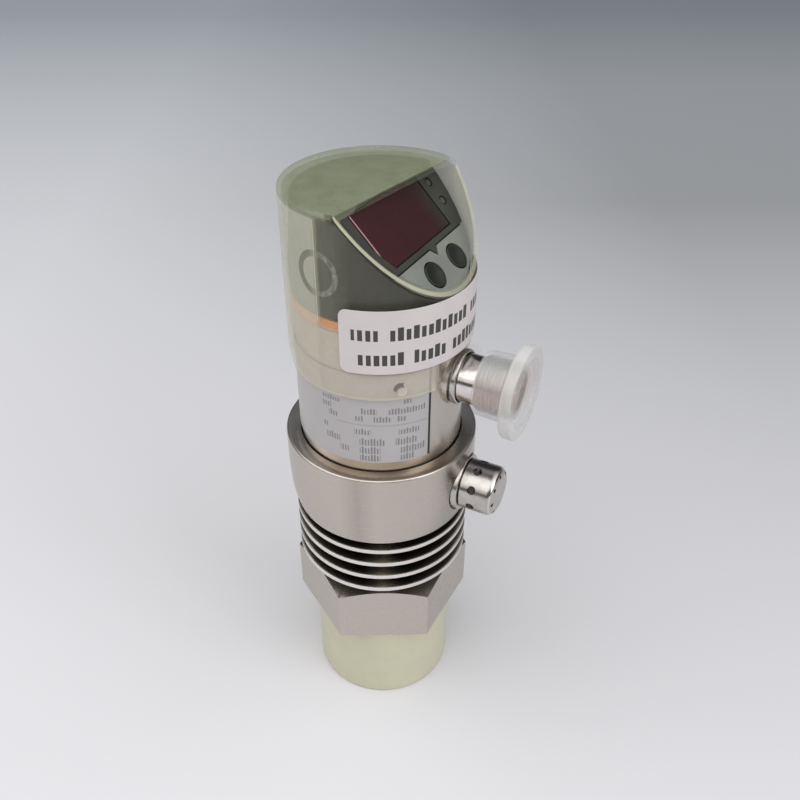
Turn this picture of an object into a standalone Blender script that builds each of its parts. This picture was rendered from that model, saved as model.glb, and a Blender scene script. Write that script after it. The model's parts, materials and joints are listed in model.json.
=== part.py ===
"""Electronic pressure sensor with a slanted display head, a side plug and a finned process body.

The origin is the middle of the underside of the protective thread cap, +Z is up along the sensor's
axis, and azimuths are measured from +X. Lengths are in metres.
"""
import math

import bmesh
import bpy
from mathutils import Matrix

MM = 0.001
GAP = 0.3 * MM
SKIN_GAP = 0.2 * MM
WELD = 0.01 * MM
BIG_SEGMENTS = 40
MID_SEGMENTS = 28
SMALL_SEGMENTS = 20
PIN_SEGMENTS = 10

# Protective thread cap at the foot
CAP_R = 17.3 * MM
CAP_WALL = 0.9 * MM
CAP_FLOOR = 1.2 * MM
CAP_EDGE = 0.7 * MM

# Process body: threaded spigot, hexagon and cooling fins
SPIGOT_R = CAP_R - CAP_WALL - GAP
SPIGOT_CHAMFER = 0.8 * MM
UNDERCUT_DEPTH = 1.1 * MM
UNDERCUT_H = 2.6 * MM
HEX_Z = 24.6 * MM
HEX_H = 15.2 * MM
HEX_AF = 37.1 * MM
HEX_CHAMFER_H = 1.7 * MM
FIN_R = 20.6 * MM
FIN_ROOT_R = 13.0 * MM
FIN_T = 1.1 * MM
FIN_PITCH = 4.1 * MM
FIN_COUNT = 4
FIN_CLEARANCE = 3.05 * MM
COLLAR_CLEARANCE = 2.15 * MM
BOSS_H = 4.2 * MM
WIRE_BORE_R = 4.0 * MM
CHAMBER_R = 10.8 * MM

# Measuring cell stack, from the front face of the spigot upwards
CLAMP_BAND = 2.4 * MM
CLAMP_H = 2.4 * MM
CELL_SEAL_H = 1.0 * MM
CELL_H = 5.0 * MM
SPACER_H = 1.8 * MM
SENSOR_BOARD_H = 1.4 * MM

# Housing tube and its type label
TUBE_R = 18.2 * MM
TUBE_WALL = 1.0 * MM
TUBE_H = 36.7 * MM
BOSS_PLAY = 0.2 * MM
BOSS_R = TUBE_R - TUBE_WALL - BOSS_PLAY
LABEL_T = 0.12 * MM
LABEL_FOOT = 2.5 * MM
LABEL_OVERLAP = 5.4 * MM
LABEL_START = math.radians(-236.0)
LABEL_END = math.radians(-56.5)

# Collar ring, with its seal in a groove under the mouth
COLLAR_WALL = 3.6 * MM
COLLAR_TAPER = 1.4 * MM
COLLAR_H = 19.5 * MM
COLLAR_CHAMFER = 0.6 * MM
COLLAR_SHOULDER = 3.9 * MM
COLLAR_SEAL_W = 0.7 * MM
COLLAR_SEAL_H = 1.1 * MM
COLLAR_SEAL_DROP = 1.4 * MM
COLLAR_R = TUBE_R + COLLAR_WALL
COLLAR_FOOT_R = COLLAR_R - COLLAR_TAPER

# Plug connector on the side of the tube
PORT_AZ = math.radians(-28.0)
PORT_DROP = 15.0 * MM
PORT_THREAD_R = 5.9 * MM
PORT_THREAD_L = 8.4 * MM
PORT_THREAD_DEPTH = 0.6 * MM
PORT_WALL = 0.8 * MM
PORT_STEP = 0.1 * MM
PORT_LIP_STEP = 0.4 * MM
PORT_LIP_L = 0.3 * MM
PORT_NUT_L = 1.3 * MM
PORT_NECK_L = 3.2 * MM
PORT_FLANGE_W = 2.1 * MM
PORT_FLANGE_L = 2.4 * MM
PORT_SEAL_L = 1.1 * MM
PORT_NUT_R = PORT_THREAD_R + PORT_STEP
PORT_LIP_R = PORT_THREAD_R + PORT_LIP_STEP
PORT_LIP_END = TUBE_R + PORT_LIP_L
PORT_STEM_R = PORT_THREAD_R - PORT_THREAD_DEPTH
PORT_FLANGE_R = PORT_STEM_R + PORT_FLANGE_W
PORT_BORE_R = PORT_STEM_R - PORT_WALL
INSERT_DEPTH = 2.4 * MM
PIN_R = 0.5 * MM
PIN_CIRCLE_R = 2.4 * MM
PIN_COUNT = 4
PIN_TAIL = 2.0 * MM
PIN_TIP = 1.6 * MM

# White cap pressed over the plug thread
PORT_CAP_SIDE = 0.8 * MM
PORT_CAP_DRAFT = 0.3 * MM
PORT_CAP_BRIM = 3.1 * MM
PORT_CAP_FLANGE_T = 2.7 * MM
PORT_CAP_EDGE = 0.7 * MM
PORT_CAP_WALL = 0.9 * MM
PORT_CAP_RIM = 4.3 * MM
PORT_CAP_RECESS_DEPTH = 0.5 * MM
PORT_CAP_R = PORT_THREAD_R + GAP + PORT_CAP_SIDE
PORT_CAP_FLANGE_R = PORT_CAP_R + PORT_CAP_BRIM
PORT_CAP_RECESS_R = PORT_CAP_FLANGE_R - PORT_CAP_RIM

# Pressure compensation vent on the side of the collar
VENT_AZ = math.radians(-28.0)
VENT_HEIGHT = 9.2 * MM
VENT_R = 5.8 * MM
VENT_L = 9.8 * MM
VENT_EDGE = 1.8 * MM
VENT_LIP_W = 0.8 * MM
VENT_LIP_H = 1.5 * MM
VENT_SINK = 1.6 * MM
VENT_CAP_WALL = 0.9 * MM
VENT_CAP_FLOOR = 1.2 * MM
VENT_NECK_L = 0.9 * MM
VENT_SPIGOT_R = 3.0 * MM
VENT_SPIGOT_REACH = 1.0 * MM
VENT_BORE_R = 1.5 * MM
VENT_HOLE_R = 1.0 * MM
VENT_HOLE_COUNT = 8
VENT_HOLE_BACK = 5.0 * MM
VENT_HOLE_TURN = math.radians(27.0)
VENT_DRAIN_R = 0.45 * MM
VENT_DRAIN_INSET = 1.3 * MM
VENT_DRAIN_TURN = math.radians(42.0)
VENT_MEMBRANE_INSET = 1.0 * MM
VENT_MEMBRANE_T = 0.4 * MM
VENT_SEAL_W = 1.0 * MM
VENT_SEAT = COLLAR_R - VENT_SINK
VENT_END = VENT_SEAT + VENT_L
VENT_LIP_R = VENT_R + VENT_LIP_W
VENT_SPIGOT_END = BOSS_R - VENT_SPIGOT_REACH

# Electronics inside the tube
HOLDER_T = 1.0 * MM
HOLDER_HOLE_R = 4.2 * MM
BOARD_T = 1.6 * MM
BOARD_MARGIN = 4.5 * MM
BOARD_W = 2.0 * (BOSS_R - BOARD_MARGIN)
BOARD_H = 38.0 * MM
BOARD_SETBACK = 3.0 * MM
POST_H = 12.0 * MM
POST_WALL = 1.9 * MM
POST_GRIP = 1.2 * MM

# Display head: a drafted moulding cut by the slanted face
FACE_AZ = math.radians(-30.0)
FACE_SLOPE = math.radians(45.0)
FACE_D = 2.0 * MM
FACE_DROP = 0.45 * MM
HEAD_OVERHANG = 0.3 * MM
HEAD_DRAFT = 1.0 * MM
HEAD_STRAIGHT = 6.0 * MM
HEAD_H = 20.6 * MM
HEAD_R = TUBE_R + HEAD_OVERHANG
HEAD_TOP_R = HEAD_R - HEAD_DRAFT
FACE_L = (HEAD_R - FACE_D) / math.cos(FACE_SLOPE)
HEAD_EDGE = 0.8 * MM
HEAD_WALL = 1.5 * MM
HEAD_PLUG_H = 7.0 * MM
HEAD_PLUG_WALL = 1.5 * MM
HEAD_SEAL_H = 2.3 * MM

# Plates on the slanted face
PLATE_T = 1.2 * MM
PLATE_INSET = 0.25 * MM
FRAME_V = FACE_L - 9.5 * MM
TAB_W = 1.3 * MM
TAB_H = 1.6 * MM
WINDOW_LEFT = 2.8 * MM - HEAD_TOP_R
WINDOW_RIGHT = HEAD_TOP_R - 7.9 * MM
WINDOW_TOP = 0.1 * MM
WINDOW_BOTTOM = FRAME_V - 1.4 * MM
WINDOW_RIM = 1.0 * MM
WINDOW_SINK = 0.15 * MM
WINDOW_LEDGE = 0.9 * MM

# Push buttons and what they press
BUTTON_R = 2.6 * MM
BUTTON_U = 4.7 * MM
BUTTON_V = FACE_L - 5.0 * MM
BUTTON_TRAVEL = 0.8 * MM
BUTTON_DISH = 0.3 * MM
BUTTON_PROUD = 0.1 * MM
BUTTON_FLANGE_W = 0.55 * MM
BUTTON_FLANGE_T = 0.6 * MM
BUTTON_STEM_R = 1.2 * MM
BUTTON_STEM_L = 0.8 * MM
SWITCH_W = 4.5 * MM
SWITCH_H = 1.7 * MM

# Parts behind the face
DISPLAY_BOARD_T = 1.4 * MM
DISPLAY_BOARD_W = 2.0 * (HEAD_TOP_R - 3.7 * MM)
DISPLAY_BOARD_TOP = 1.5 * MM
DISPLAY_BOARD_BOTTOM = FACE_L - 2.1 * MM
DIGIT_LEFT = WINDOW_LEFT + 4.1 * MM
DIGIT_RIGHT = WINDOW_RIGHT - 3.4 * MM
DIGIT_TOP = WINDOW_TOP + 2.5 * MM
DIGIT_BOTTOM = WINDOW_BOTTOM - 1.6 * MM
DIGIT_AIR = 0.6 * MM
PIPE_R = 0.75 * MM
PIPE_U = HEAD_TOP_R - 5.0 * MM
PIPE_SPOTS = ((PIPE_U, 3.4 * MM), (PIPE_U + 0.3 * MM, 8.0 * MM))
PIPE_L = 3.2 * MM
LED_W = 1.6 * MM
SCREW_U = HEAD_TOP_R - 8.1 * MM
SCREW_V = FRAME_V + 0.2 * MM
SCREW_SPOTS = ((-SCREW_U, SCREW_V), (SCREW_U, SCREW_V))
SCREW_BOSS_R = 1.8 * MM
SCREW_R = 0.6 * MM
SCREW_GRIP = 1.5 * MM
SCREW_HEAD_R = 1.5 * MM
SCREW_HEAD_T = 1.0 * MM

# Translucent cover over the head, pushed on a little turned, and the sticker round it
COVER_PLAY = 0.4 * MM
COVER_WALL = 0.8 * MM
COVER_TOP_T = 0.9 * MM
COVER_TOP_GAP = 0.3 * MM
COVER_FOOT_RISE = 1.1 * MM
COVER_LIP = 0.4 * MM
COVER_BEVEL_H = 3.8 * MM
COVER_EDGE = 0.9 * MM
COVER_TURN = math.radians(-8.0)
COVER_SLOPE = math.radians(49.1)
COVER_CUT_D = 4.3 * MM
COVER_R = HEAD_R + COVER_PLAY + COVER_WALL
HOOD_CLEARANCE = 0.7 * MM
HOOD_WALL = 0.6 * MM
HOOD_REACH = 1.1 * MM
GATE_AZ = math.radians(-78.6)
GATE_R = 1.1 * MM
GATE_L = 0.9 * MM
GATE_RISE = 2.9 * MM
STICKER_T = 0.12 * MM
STICKER_RISE = 6.8 * MM
STICKER_H = 14.0 * MM
STICKER_START = math.radians(-113.5)
STICKER_END = math.radians(14.0)

# Heights that follow from the sizes above
SPIGOT_Z = CAP_FLOOR + GAP
FIN_BASE_Z = HEX_Z + HEX_H + FIN_CLEARANCE
FIN_TOP_Z = FIN_BASE_Z + (FIN_COUNT - 1) * FIN_PITCH + FIN_T
COLLAR_Z = FIN_TOP_Z + COLLAR_CLEARANCE
COLLAR_TOP_Z = COLLAR_Z + COLLAR_H
BOSS_Z = COLLAR_Z + GAP
BOSS_TOP_Z = BOSS_Z + BOSS_H
SHOULDER_Z = COLLAR_TOP_Z - COLLAR_SHOULDER
TUBE_Z = SHOULDER_Z + GAP
TUBE_TOP_Z = TUBE_Z + TUBE_H
TUBE_BORE_R = TUBE_R - TUBE_WALL
HEAD_SEAL_Z = TUBE_TOP_Z + GAP
HEAD_Z = HEAD_SEAL_Z + HEAD_SEAL_H + GAP
HEAD_TOP_Z = HEAD_Z + HEAD_H
FACE_Z = HEAD_TOP_Z - FACE_DROP
COVER_TOP_Z = HEAD_TOP_Z + COVER_TOP_GAP + COVER_TOP_T
PORT_Z = TUBE_TOP_Z - PORT_DROP
COVER_FOOT_Z = PORT_Z + COVER_FOOT_RISE
COVER_FOOT_BORE_R = TUBE_R + SKIN_GAP + LABEL_T + GAP
VENT_Z = COLLAR_Z + VENT_HEIGHT
FAR = 80.0 * MM


def clear_scene():
    for obj in list(bpy.data.objects):
        bpy.data.objects.remove(obj, do_unlink=True)


def collection(name):
    found = bpy.data.collections.get(name) or bpy.data.collections.new(name)
    if found.name not in bpy.context.scene.collection.children:
        bpy.context.scene.collection.children.link(found)
    return found


def material(name, color, roughness, metallic=0.0, transmission=0.0):
    mat = bpy.data.materials.new(name)
    mat.use_nodes = True
    shader = mat.node_tree.nodes["Principled BSDF"]
    shader.inputs["Base Color"].default_value = (*color, 1.0)
    shader.inputs["Roughness"].default_value = roughness
    shader.inputs["Metallic"].default_value = metallic
    shader.inputs["Transmission Weight"].default_value = transmission
    return mat


clear_scene()
PARTS = collection("pressure_sensor")
CUTTERS = collection("cutters")

STEEL = material("turned_steel", (0.62, 0.59, 0.55), 0.3, 1.0)
POLISHED = material("polished_steel", (0.72, 0.69, 0.66), 0.15, 1.0)
COVER_PLASTIC = material("translucent_cover", (0.72, 0.72, 0.58), 0.35, 0.0, 0.4)
CAP_PLASTIC = material("pale_cap", (0.66, 0.66, 0.48), 0.45, 0.0, 0.2)
WHITE_CAP = material("milky_cap", (0.78, 0.78, 0.75), 0.4, 0.0, 0.3)
DARK_PLASTIC = material("dark_plastic", (0.05, 0.06, 0.05), 0.5)
PANEL_PLASTIC = material("grey_panel", (0.5, 0.55, 0.55), 0.5)
RED_FILTER = material("red_filter", (0.16, 0.01, 0.03), 0.2)
RUBBER = material("black_rubber", (0.02, 0.02, 0.02), 0.7)
ORANGE_RUBBER = material("orange_rubber", (0.75, 0.24, 0.06), 0.6)
BOARD = material("circuit_board", (0.03, 0.16, 0.07), 0.5)
CERAMIC = material("ceramic", (0.85, 0.83, 0.78), 0.4)
GOLD = material("gold_plate", (0.8, 0.6, 0.25), 0.25, 1.0)
LABEL_FOIL = material("label_foil", (0.55, 0.54, 0.6), 0.4)
STICKER_PAPER = material("sticker_paper", (0.8, 0.76, 0.8), 0.6)
CLEAR_PLASTIC = material("clear_plastic", (0.8, 0.8, 0.8), 0.2, 0.0, 0.8)


def frame(name, location, rotation):
    empty = bpy.data.objects.new(name, None)
    empty.location = location
    empty.rotation_euler = rotation
    PARTS.objects.link(empty)
    return empty


def side_frame(name, azimuth, height):
    """Local +Z points outwards at the azimuth, local +Y to the right seen from above."""
    return frame(name, (0.0, 0.0, height), (0.0, math.radians(90.0), azimuth))


def slanted_frame(name, azimuth, slope, distance, height):
    """Local +Z is the normal of a slanted plane, local +Y runs up its slope."""
    location = (distance * math.cos(azimuth), distance * math.sin(azimuth), height)
    return frame(name, location, (slope, 0.0, azimuth + math.radians(90.0)))


FACE = slanted_frame("face_frame", FACE_AZ, FACE_SLOPE, FACE_D, FACE_Z)
COVER_CUT = slanted_frame(
    "cover_cut_frame", FACE_AZ + COVER_TURN, COVER_SLOPE, COVER_CUT_D, COVER_TOP_Z
)
PORT = side_frame("port_frame", PORT_AZ, PORT_Z)
VENT = side_frame("vent_frame", VENT_AZ, VENT_Z)


def new_object(name, mesh, mat=None, parent=None, at=(0.0, 0.0, 0.0)):
    """Adds a mesh as a part, or as a hidden cutter where no material is given."""
    obj = bpy.data.objects.new(name, mesh)
    obj.location = at
    obj.parent = parent
    if mat is None:
        CUTTERS.objects.link(obj)
        obj.hide_render = True
        obj.display_type = "WIRE"
    else:
        PARTS.objects.link(obj)
        mesh.materials.append(mat)
    return obj


def turned(name, profile, segments, mat=None, parent=None, at=(0.0, 0.0, 0.0)):
    """Revolves a profile of (radius, height) that runs down its outer side.

    A profile that starts and ends on the axis is a solid, and any other is closed into a ring.
    """
    mesh = bpy.data.meshes.new(name)
    points = [(r, 0.0, z) for r, z in profile]
    edges = [(i, i + 1) for i in range(len(points) - 1)]
    if profile[0][0] > 0.0:
        edges.append((len(points) - 1, 0))
    mesh.from_pydata(points, edges, [])
    obj = new_object(name, mesh, mat, parent, at)
    screw = obj.modifiers.new("Revolve", "SCREW")
    screw.steps = segments
    screw.render_steps = segments
    screw.use_merge_vertices = True
    screw.merge_threshold = WELD
    screw.use_smooth_shade = True
    return obj


def arc(center_r, center_z, radius, start, end, steps):
    """Points of a rounded edge, with angles in degrees from the outward radius towards up."""
    points = []
    for i in range(steps + 1):
        angle = math.radians(start + (end - start) * i / steps)
        points.append((center_r + radius * math.cos(angle), center_z + radius * math.sin(angle)))
    return points


def rod(name, radius, low, high, segments, mat=None, parent=None, at=(0.0, 0.0, 0.0)):
    profile = [(0.0, high), (radius, high), (radius, low), (0.0, low)]
    return turned(name, profile, segments, mat, parent, at)


def ring(name, inner, outer, low, high, segments, mat=None, parent=None):
    profile = [(inner, high), (outer, high), (outer, low), (inner, low)]
    return turned(name, profile, segments, mat, parent)


def block(name, low, high, mat=None, parent=None):
    """A box between two corners in the parent's frame."""
    mesh = bpy.data.meshes.new(name)
    bm = bmesh.new()
    bmesh.ops.create_cube(bm, size=1.0)
    size = [high[i] - low[i] for i in range(3)]
    middle = [(high[i] + low[i]) / 2.0 for i in range(3)]
    bmesh.ops.transform(bm, matrix=Matrix.Diagonal((*size, 1.0)), verts=bm.verts)
    bm.to_mesh(mesh)
    bm.free()
    return new_object(name, mesh, mat, parent, middle)


def plate(name, outline, low, high, mat=None, parent=None):
    """A flat outline extruded between two heights, made as a filled curve and then a mesh."""
    curve = bpy.data.curves.new(name + "_outline", "CURVE")
    curve.dimensions = "2D"
    curve.fill_mode = "BOTH"
    curve.extrude = (high - low) / 2.0
    spline = curve.splines.new("POLY")
    spline.points.add(len(outline) - 1)
    for point, (x, y) in zip(spline.points, outline):
        point.co = (x, y, 0.0, 1.0)
    spline.use_cyclic_u = True
    holder = bpy.data.objects.new(name + "_outline", curve)
    CUTTERS.objects.link(holder)
    depsgraph = bpy.context.evaluated_depsgraph_get()
    mesh = bpy.data.meshes.new_from_object(holder.evaluated_get(depsgraph))
    mesh.name = name
    bpy.data.objects.remove(holder, do_unlink=True)
    bm = bmesh.new()
    bm.from_mesh(mesh)
    bmesh.ops.remove_doubles(bm, verts=bm.verts, dist=WELD)
    bmesh.ops.recalc_face_normals(bm, faces=bm.faces)
    bm.to_mesh(mesh)
    bm.free()
    mesh.materials.clear()
    return new_object(name, mesh, mat, parent, (0.0, 0.0, (low + high) / 2.0))


def boolean(obj, other, operation):
    """Cuts, joins or clips obj with a cutter, which stays hidden."""
    modifier = obj.modifiers.new(operation.title(), "BOOLEAN")
    modifier.solver = "EXACT"
    modifier.operation = operation
    modifier.object = other
    return obj


def curved_sheet(name, radius, thickness, low, high, start, end, mat):
    """A thin band round the axis between two azimuths."""
    mesh = bpy.data.meshes.new(name)
    mesh.from_pydata([(radius, 0.0, high), (radius, 0.0, low)], [(0, 1)], [])
    obj = new_object(name, mesh, mat)
    obj.rotation_euler = (0.0, 0.0, start)
    screw = obj.modifiers.new("Sweep", "SCREW")
    screw.angle = end - start
    steps = max(8, round(BIG_SEGMENTS * (end - start) / (2.0 * math.pi)))
    screw.steps = steps
    screw.render_steps = steps
    screw.use_smooth_shade = True
    solidify = obj.modifiers.new("Thickness", "SOLIDIFY")
    solidify.thickness = thickness
    solidify.offset = 1.0
    return obj


def build_thread_cap():
    top = HEX_Z - GAP
    inner = CAP_R - CAP_WALL
    profile = [(0.0, CAP_FLOOR), (inner, CAP_FLOOR), (inner, top), (CAP_R, top)]
    profile += arc(CAP_R - CAP_EDGE, CAP_EDGE, CAP_EDGE, 0.0, -90.0, 3)
    profile.append((0.0, 0.0))
    turned("thread_cap", profile, BIG_SEGMENTS, CAP_PLASTIC)


def fin_profile():
    """The stack of cooling fins, from the top fin down."""
    points = []
    for i in reversed(range(FIN_COUNT)):
        low = FIN_BASE_Z + i * FIN_PITCH
        high = low + FIN_T
        points += [(FIN_ROOT_R, high), (FIN_R, high), (FIN_R, low), (FIN_ROOT_R, low)]
    return points


def build_process_body():
    hex_top = HEX_Z + HEX_H
    undercut_r = SPIGOT_R - UNDERCUT_DEPTH
    profile = [(0.0, BOSS_TOP_Z), (BOSS_R, BOSS_TOP_Z), (BOSS_R, BOSS_Z), (FIN_ROOT_R, BOSS_Z)]
    profile += fin_profile()
    profile += [
        (FIN_ROOT_R, hex_top - HEX_CHAMFER_H),
        (undercut_r, hex_top - 2.0 * HEX_CHAMFER_H),
        (undercut_r, HEX_Z - UNDERCUT_H),
        (SPIGOT_R, HEX_Z - UNDERCUT_H - SPIGOT_CHAMFER),
        (SPIGOT_R, SPIGOT_Z + SPIGOT_CHAMFER),
        (SPIGOT_R - SPIGOT_CHAMFER, SPIGOT_Z),
        (0.0, SPIGOT_Z),
    ]
    body = turned("process_body", profile, BIG_SEGMENTS, STEEL)

    corner_r = HEX_AF / math.sqrt(3.0)
    outline = [
        (corner_r * math.cos(math.radians(60.0 * i)), corner_r * math.sin(math.radians(60.0 * i)))
        for i in range(6)
    ]
    hexagon = plate("hexagon", outline, HEX_Z, hex_top)
    flat_r = HEX_AF / 2.0
    reach = corner_r - flat_r
    slope = HEX_CHAMFER_H / reach
    wide = corner_r + reach
    cone = [
        (0.0, hex_top + HEX_H),
        (flat_r, hex_top + HEX_H),
        (flat_r, hex_top),
        (wide, hex_top - slope * (wide - flat_r)),
        (wide, HEX_Z - HEX_H),
        (0.0, HEX_Z - HEX_H),
    ]
    boolean(hexagon, turned("hexagon_chamfer", cone, BIG_SEGMENTS), "INTERSECT")
    boolean(body, hexagon, "UNION")

    chamber_top = SPIGOT_Z + stack_height() + GAP
    bore = [
        (0.0, BOSS_TOP_Z + FAR),
        (WIRE_BORE_R, BOSS_TOP_Z + FAR),
        (WIRE_BORE_R, chamber_top),
        (CHAMBER_R, chamber_top),
        (CHAMBER_R, SPIGOT_Z - FAR),
        (0.0, SPIGOT_Z - FAR),
    ]
    boolean(body, turned("process_bore", bore, MID_SEGMENTS), "DIFFERENCE")


def stack_height():
    return CLAMP_H + CELL_SEAL_H + CELL_H + SPACER_H + SENSOR_BOARD_H + 4.0 * GAP


def build_cell_stack():
    outer = CHAMBER_R - GAP
    inner = CHAMBER_R - CLAMP_BAND
    low = SPIGOT_Z
    ring("cell_clamp_ring", inner, outer, low, low + CLAMP_H, SMALL_SEGMENTS, STEEL)
    low += CLAMP_H + GAP
    ring("cell_seal", inner, outer, low, low + CELL_SEAL_H, SMALL_SEGMENTS, RUBBER)
    low += CELL_SEAL_H + GAP
    rod("measuring_cell", outer, low, low + CELL_H, SMALL_SEGMENTS, CERAMIC)
    low += CELL_H + GAP
    ring("sensor_spacer", inner, outer, low, low + SPACER_H, SMALL_SEGMENTS, DARK_PLASTIC)
    low += SPACER_H + GAP
    rod("sensor_board", outer, low, low + SENSOR_BOARD_H, SMALL_SEGMENTS, BOARD)


def build_collar():
    mouth_r = TUBE_R + GAP
    groove_r = mouth_r + COLLAR_SEAL_W + GAP
    groove_top = COLLAR_TOP_Z - COLLAR_SEAL_DROP
    groove_low = groove_top - COLLAR_SEAL_H - 2.0 * GAP
    bore_r = BOSS_R + GAP
    height = COLLAR_TOP_Z - COLLAR_Z
    profile = [
        (mouth_r, COLLAR_TOP_Z),
        (COLLAR_R - COLLAR_CHAMFER, COLLAR_TOP_Z),
        (COLLAR_R, COLLAR_TOP_Z - COLLAR_CHAMFER),
    ]
    for i in range(1, 6):
        turn = i / 5.0
        drop = height - COLLAR_CHAMFER
        sweep = (COLLAR_R - COLLAR_FOOT_R) * turn ** 3.2
        profile.append((COLLAR_R - sweep, COLLAR_TOP_Z - COLLAR_CHAMFER - drop * turn ** 0.75))
    profile += [
        (bore_r, COLLAR_Z),
        (bore_r, SHOULDER_Z),
        (mouth_r, SHOULDER_Z),
        (mouth_r, groove_low),
        (groove_r, groove_low),
        (groove_r, groove_top),
        (mouth_r, groove_top),
    ]
    collar = turned("collar_ring", profile, BIG_SEGMENTS, STEEL)
    seat_r = VENT_LIP_R + GAP
    boolean(collar, rod("vent_seat", seat_r, VENT_SEAT, FAR, MID_SEGMENTS, None, VENT), "DIFFERENCE")
    hole_r = VENT_SPIGOT_R + GAP
    boolean(collar, rod("vent_hole", hole_r, 0.0, FAR, SMALL_SEGMENTS, None, VENT), "DIFFERENCE")
    ring(
        "collar_seal",
        mouth_r,
        mouth_r + COLLAR_SEAL_W,
        groove_low + GAP,
        groove_low + GAP + COLLAR_SEAL_H,
        BIG_SEGMENTS,
        RUBBER,
    )


def build_tube():
    tube = rod("housing_tube", TUBE_R, TUBE_Z, TUBE_TOP_Z, BIG_SEGMENTS, STEEL)
    lip_start = TUBE_BORE_R - 2.0 * TUBE_WALL
    lip = rod("port_lip", PORT_LIP_R, lip_start, PORT_LIP_END, MID_SEGMENTS, None, PORT)
    boolean(tube, lip, "UNION")
    bore = rod("tube_bore", TUBE_BORE_R, TUBE_Z - FAR, TUBE_TOP_Z + FAR, BIG_SEGMENTS)
    boolean(tube, bore, "DIFFERENCE")
    hole_r = PORT_STEM_R + GAP
    boolean(tube, rod("port_hole", hole_r, 0.0, FAR, MID_SEGMENTS, None, PORT), "DIFFERENCE")
    low = COLLAR_TOP_Z + LABEL_FOOT
    high = COVER_FOOT_Z + LABEL_OVERLAP
    radius = TUBE_R + SKIN_GAP
    curved_sheet("type_label", radius, LABEL_T, low, high, LABEL_START, LABEL_END, LABEL_FOIL)
    ring(
        "head_seal",
        TUBE_BORE_R,
        TUBE_R + GAP,
        HEAD_SEAL_Z,
        HEAD_SEAL_Z + HEAD_SEAL_H,
        BIG_SEGMENTS,
        ORANGE_RUBBER,
    )


def port_lengths():
    """Distances from the axis along the plug, from the inner flange to the end of the thread."""
    inside = math.sqrt(TUBE_BORE_R ** 2 - PORT_FLANGE_R ** 2)
    seal_end = inside - GAP
    flange_end = seal_end - PORT_SEAL_L - GAP
    flange_start = flange_end - PORT_FLANGE_L
    nut_start = PORT_LIP_END + GAP
    thread_start = nut_start + PORT_NUT_L + GAP + PORT_NECK_L
    return flange_start, flange_end, seal_end, nut_start, thread_start


def build_port():
    flange_start, flange_end, seal_end, nut_start, thread_start = port_lengths()
    thread_end = thread_start + PORT_THREAD_L
    chamfer = PORT_THREAD_R - PORT_STEM_R
    profile = [
        (PORT_BORE_R, thread_end),
        (PORT_THREAD_R - chamfer, thread_end),
        (PORT_THREAD_R, thread_end - chamfer),
        (PORT_THREAD_R, thread_start),
        (PORT_STEM_R, thread_start),
        (PORT_STEM_R, flange_end),
        (PORT_FLANGE_R, flange_end),
        (PORT_FLANGE_R, flange_start),
        (PORT_BORE_R, flange_start),
    ]
    turned("connector_body", profile, MID_SEGMENTS, POLISHED, PORT)
    nut_end = nut_start + PORT_NUT_L
    bore_r = PORT_STEM_R + GAP
    ring("connector_nut", bore_r, PORT_NUT_R, nut_start, nut_end, MID_SEGMENTS, POLISHED, PORT)
    ring(
        "connector_seal",
        bore_r,
        PORT_FLANGE_R,
        flange_end + GAP,
        seal_end,
        SMALL_SEGMENTS,
        RUBBER,
        PORT,
    )

    insert_end = thread_end - INSERT_DEPTH
    insert_start = flange_start
    insert_r = PORT_BORE_R - GAP
    insert = rod(
        "connector_insert", insert_r, insert_start, insert_end, SMALL_SEGMENTS, DARK_PLASTIC, PORT
    )
    pin_profile = [
        (0.0, insert_end + PIN_TIP),
        (PIN_R, insert_end + PIN_TIP - PIN_R),
        (PIN_R, insert_start - PIN_TAIL),
        (0.0, insert_start - PIN_TAIL),
    ]
    hole_r = PIN_R + GAP
    for i in range(PIN_COUNT):
        angle = math.radians(45.0) + 2.0 * math.pi * i / PIN_COUNT
        at = (PIN_CIRCLE_R * math.cos(angle), PIN_CIRCLE_R * math.sin(angle), 0.0)
        hole = rod("pin_hole_%d" % (i + 1), hole_r, 0.0, FAR, PIN_SEGMENTS, None, PORT, at)
        boolean(insert, hole, "DIFFERENCE")
        turned("contact_pin_%d" % (i + 1), pin_profile, PIN_SEGMENTS, GOLD, PORT, at)


def build_port_cap():
    thread_start = port_lengths()[4]
    thread_end = thread_start + PORT_THREAD_L
    low = thread_start + GAP
    floor_low = thread_end + GAP
    end = floor_low + PORT_CAP_WALL + PORT_CAP_RECESS_DEPTH
    flange_low = end - PORT_CAP_FLANGE_T
    inner = PORT_THREAD_R + GAP
    edge = PORT_CAP_EDGE
    profile = [
        (0.0, floor_low + PORT_CAP_WALL),
        (PORT_CAP_RECESS_R, floor_low + PORT_CAP_WALL),
        (PORT_CAP_RECESS_R + PORT_CAP_RECESS_DEPTH, end),
        (PORT_CAP_FLANGE_R - edge / 2.0, end),
        (PORT_CAP_FLANGE_R, end - edge / 2.0),
        (PORT_CAP_FLANGE_R, flange_low + edge),
        (PORT_CAP_FLANGE_R - edge, flange_low),
        (PORT_CAP_R + PORT_CAP_DRAFT, flange_low),
    ]
    profile += arc(PORT_CAP_R - edge, low + edge, edge, 0.0, -90.0, 3)
    profile += [(inner, low), (inner, floor_low), (0.0, floor_low)]
    turned("connector_cap", profile, MID_SEGMENTS, WHITE_CAP, PORT)


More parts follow.
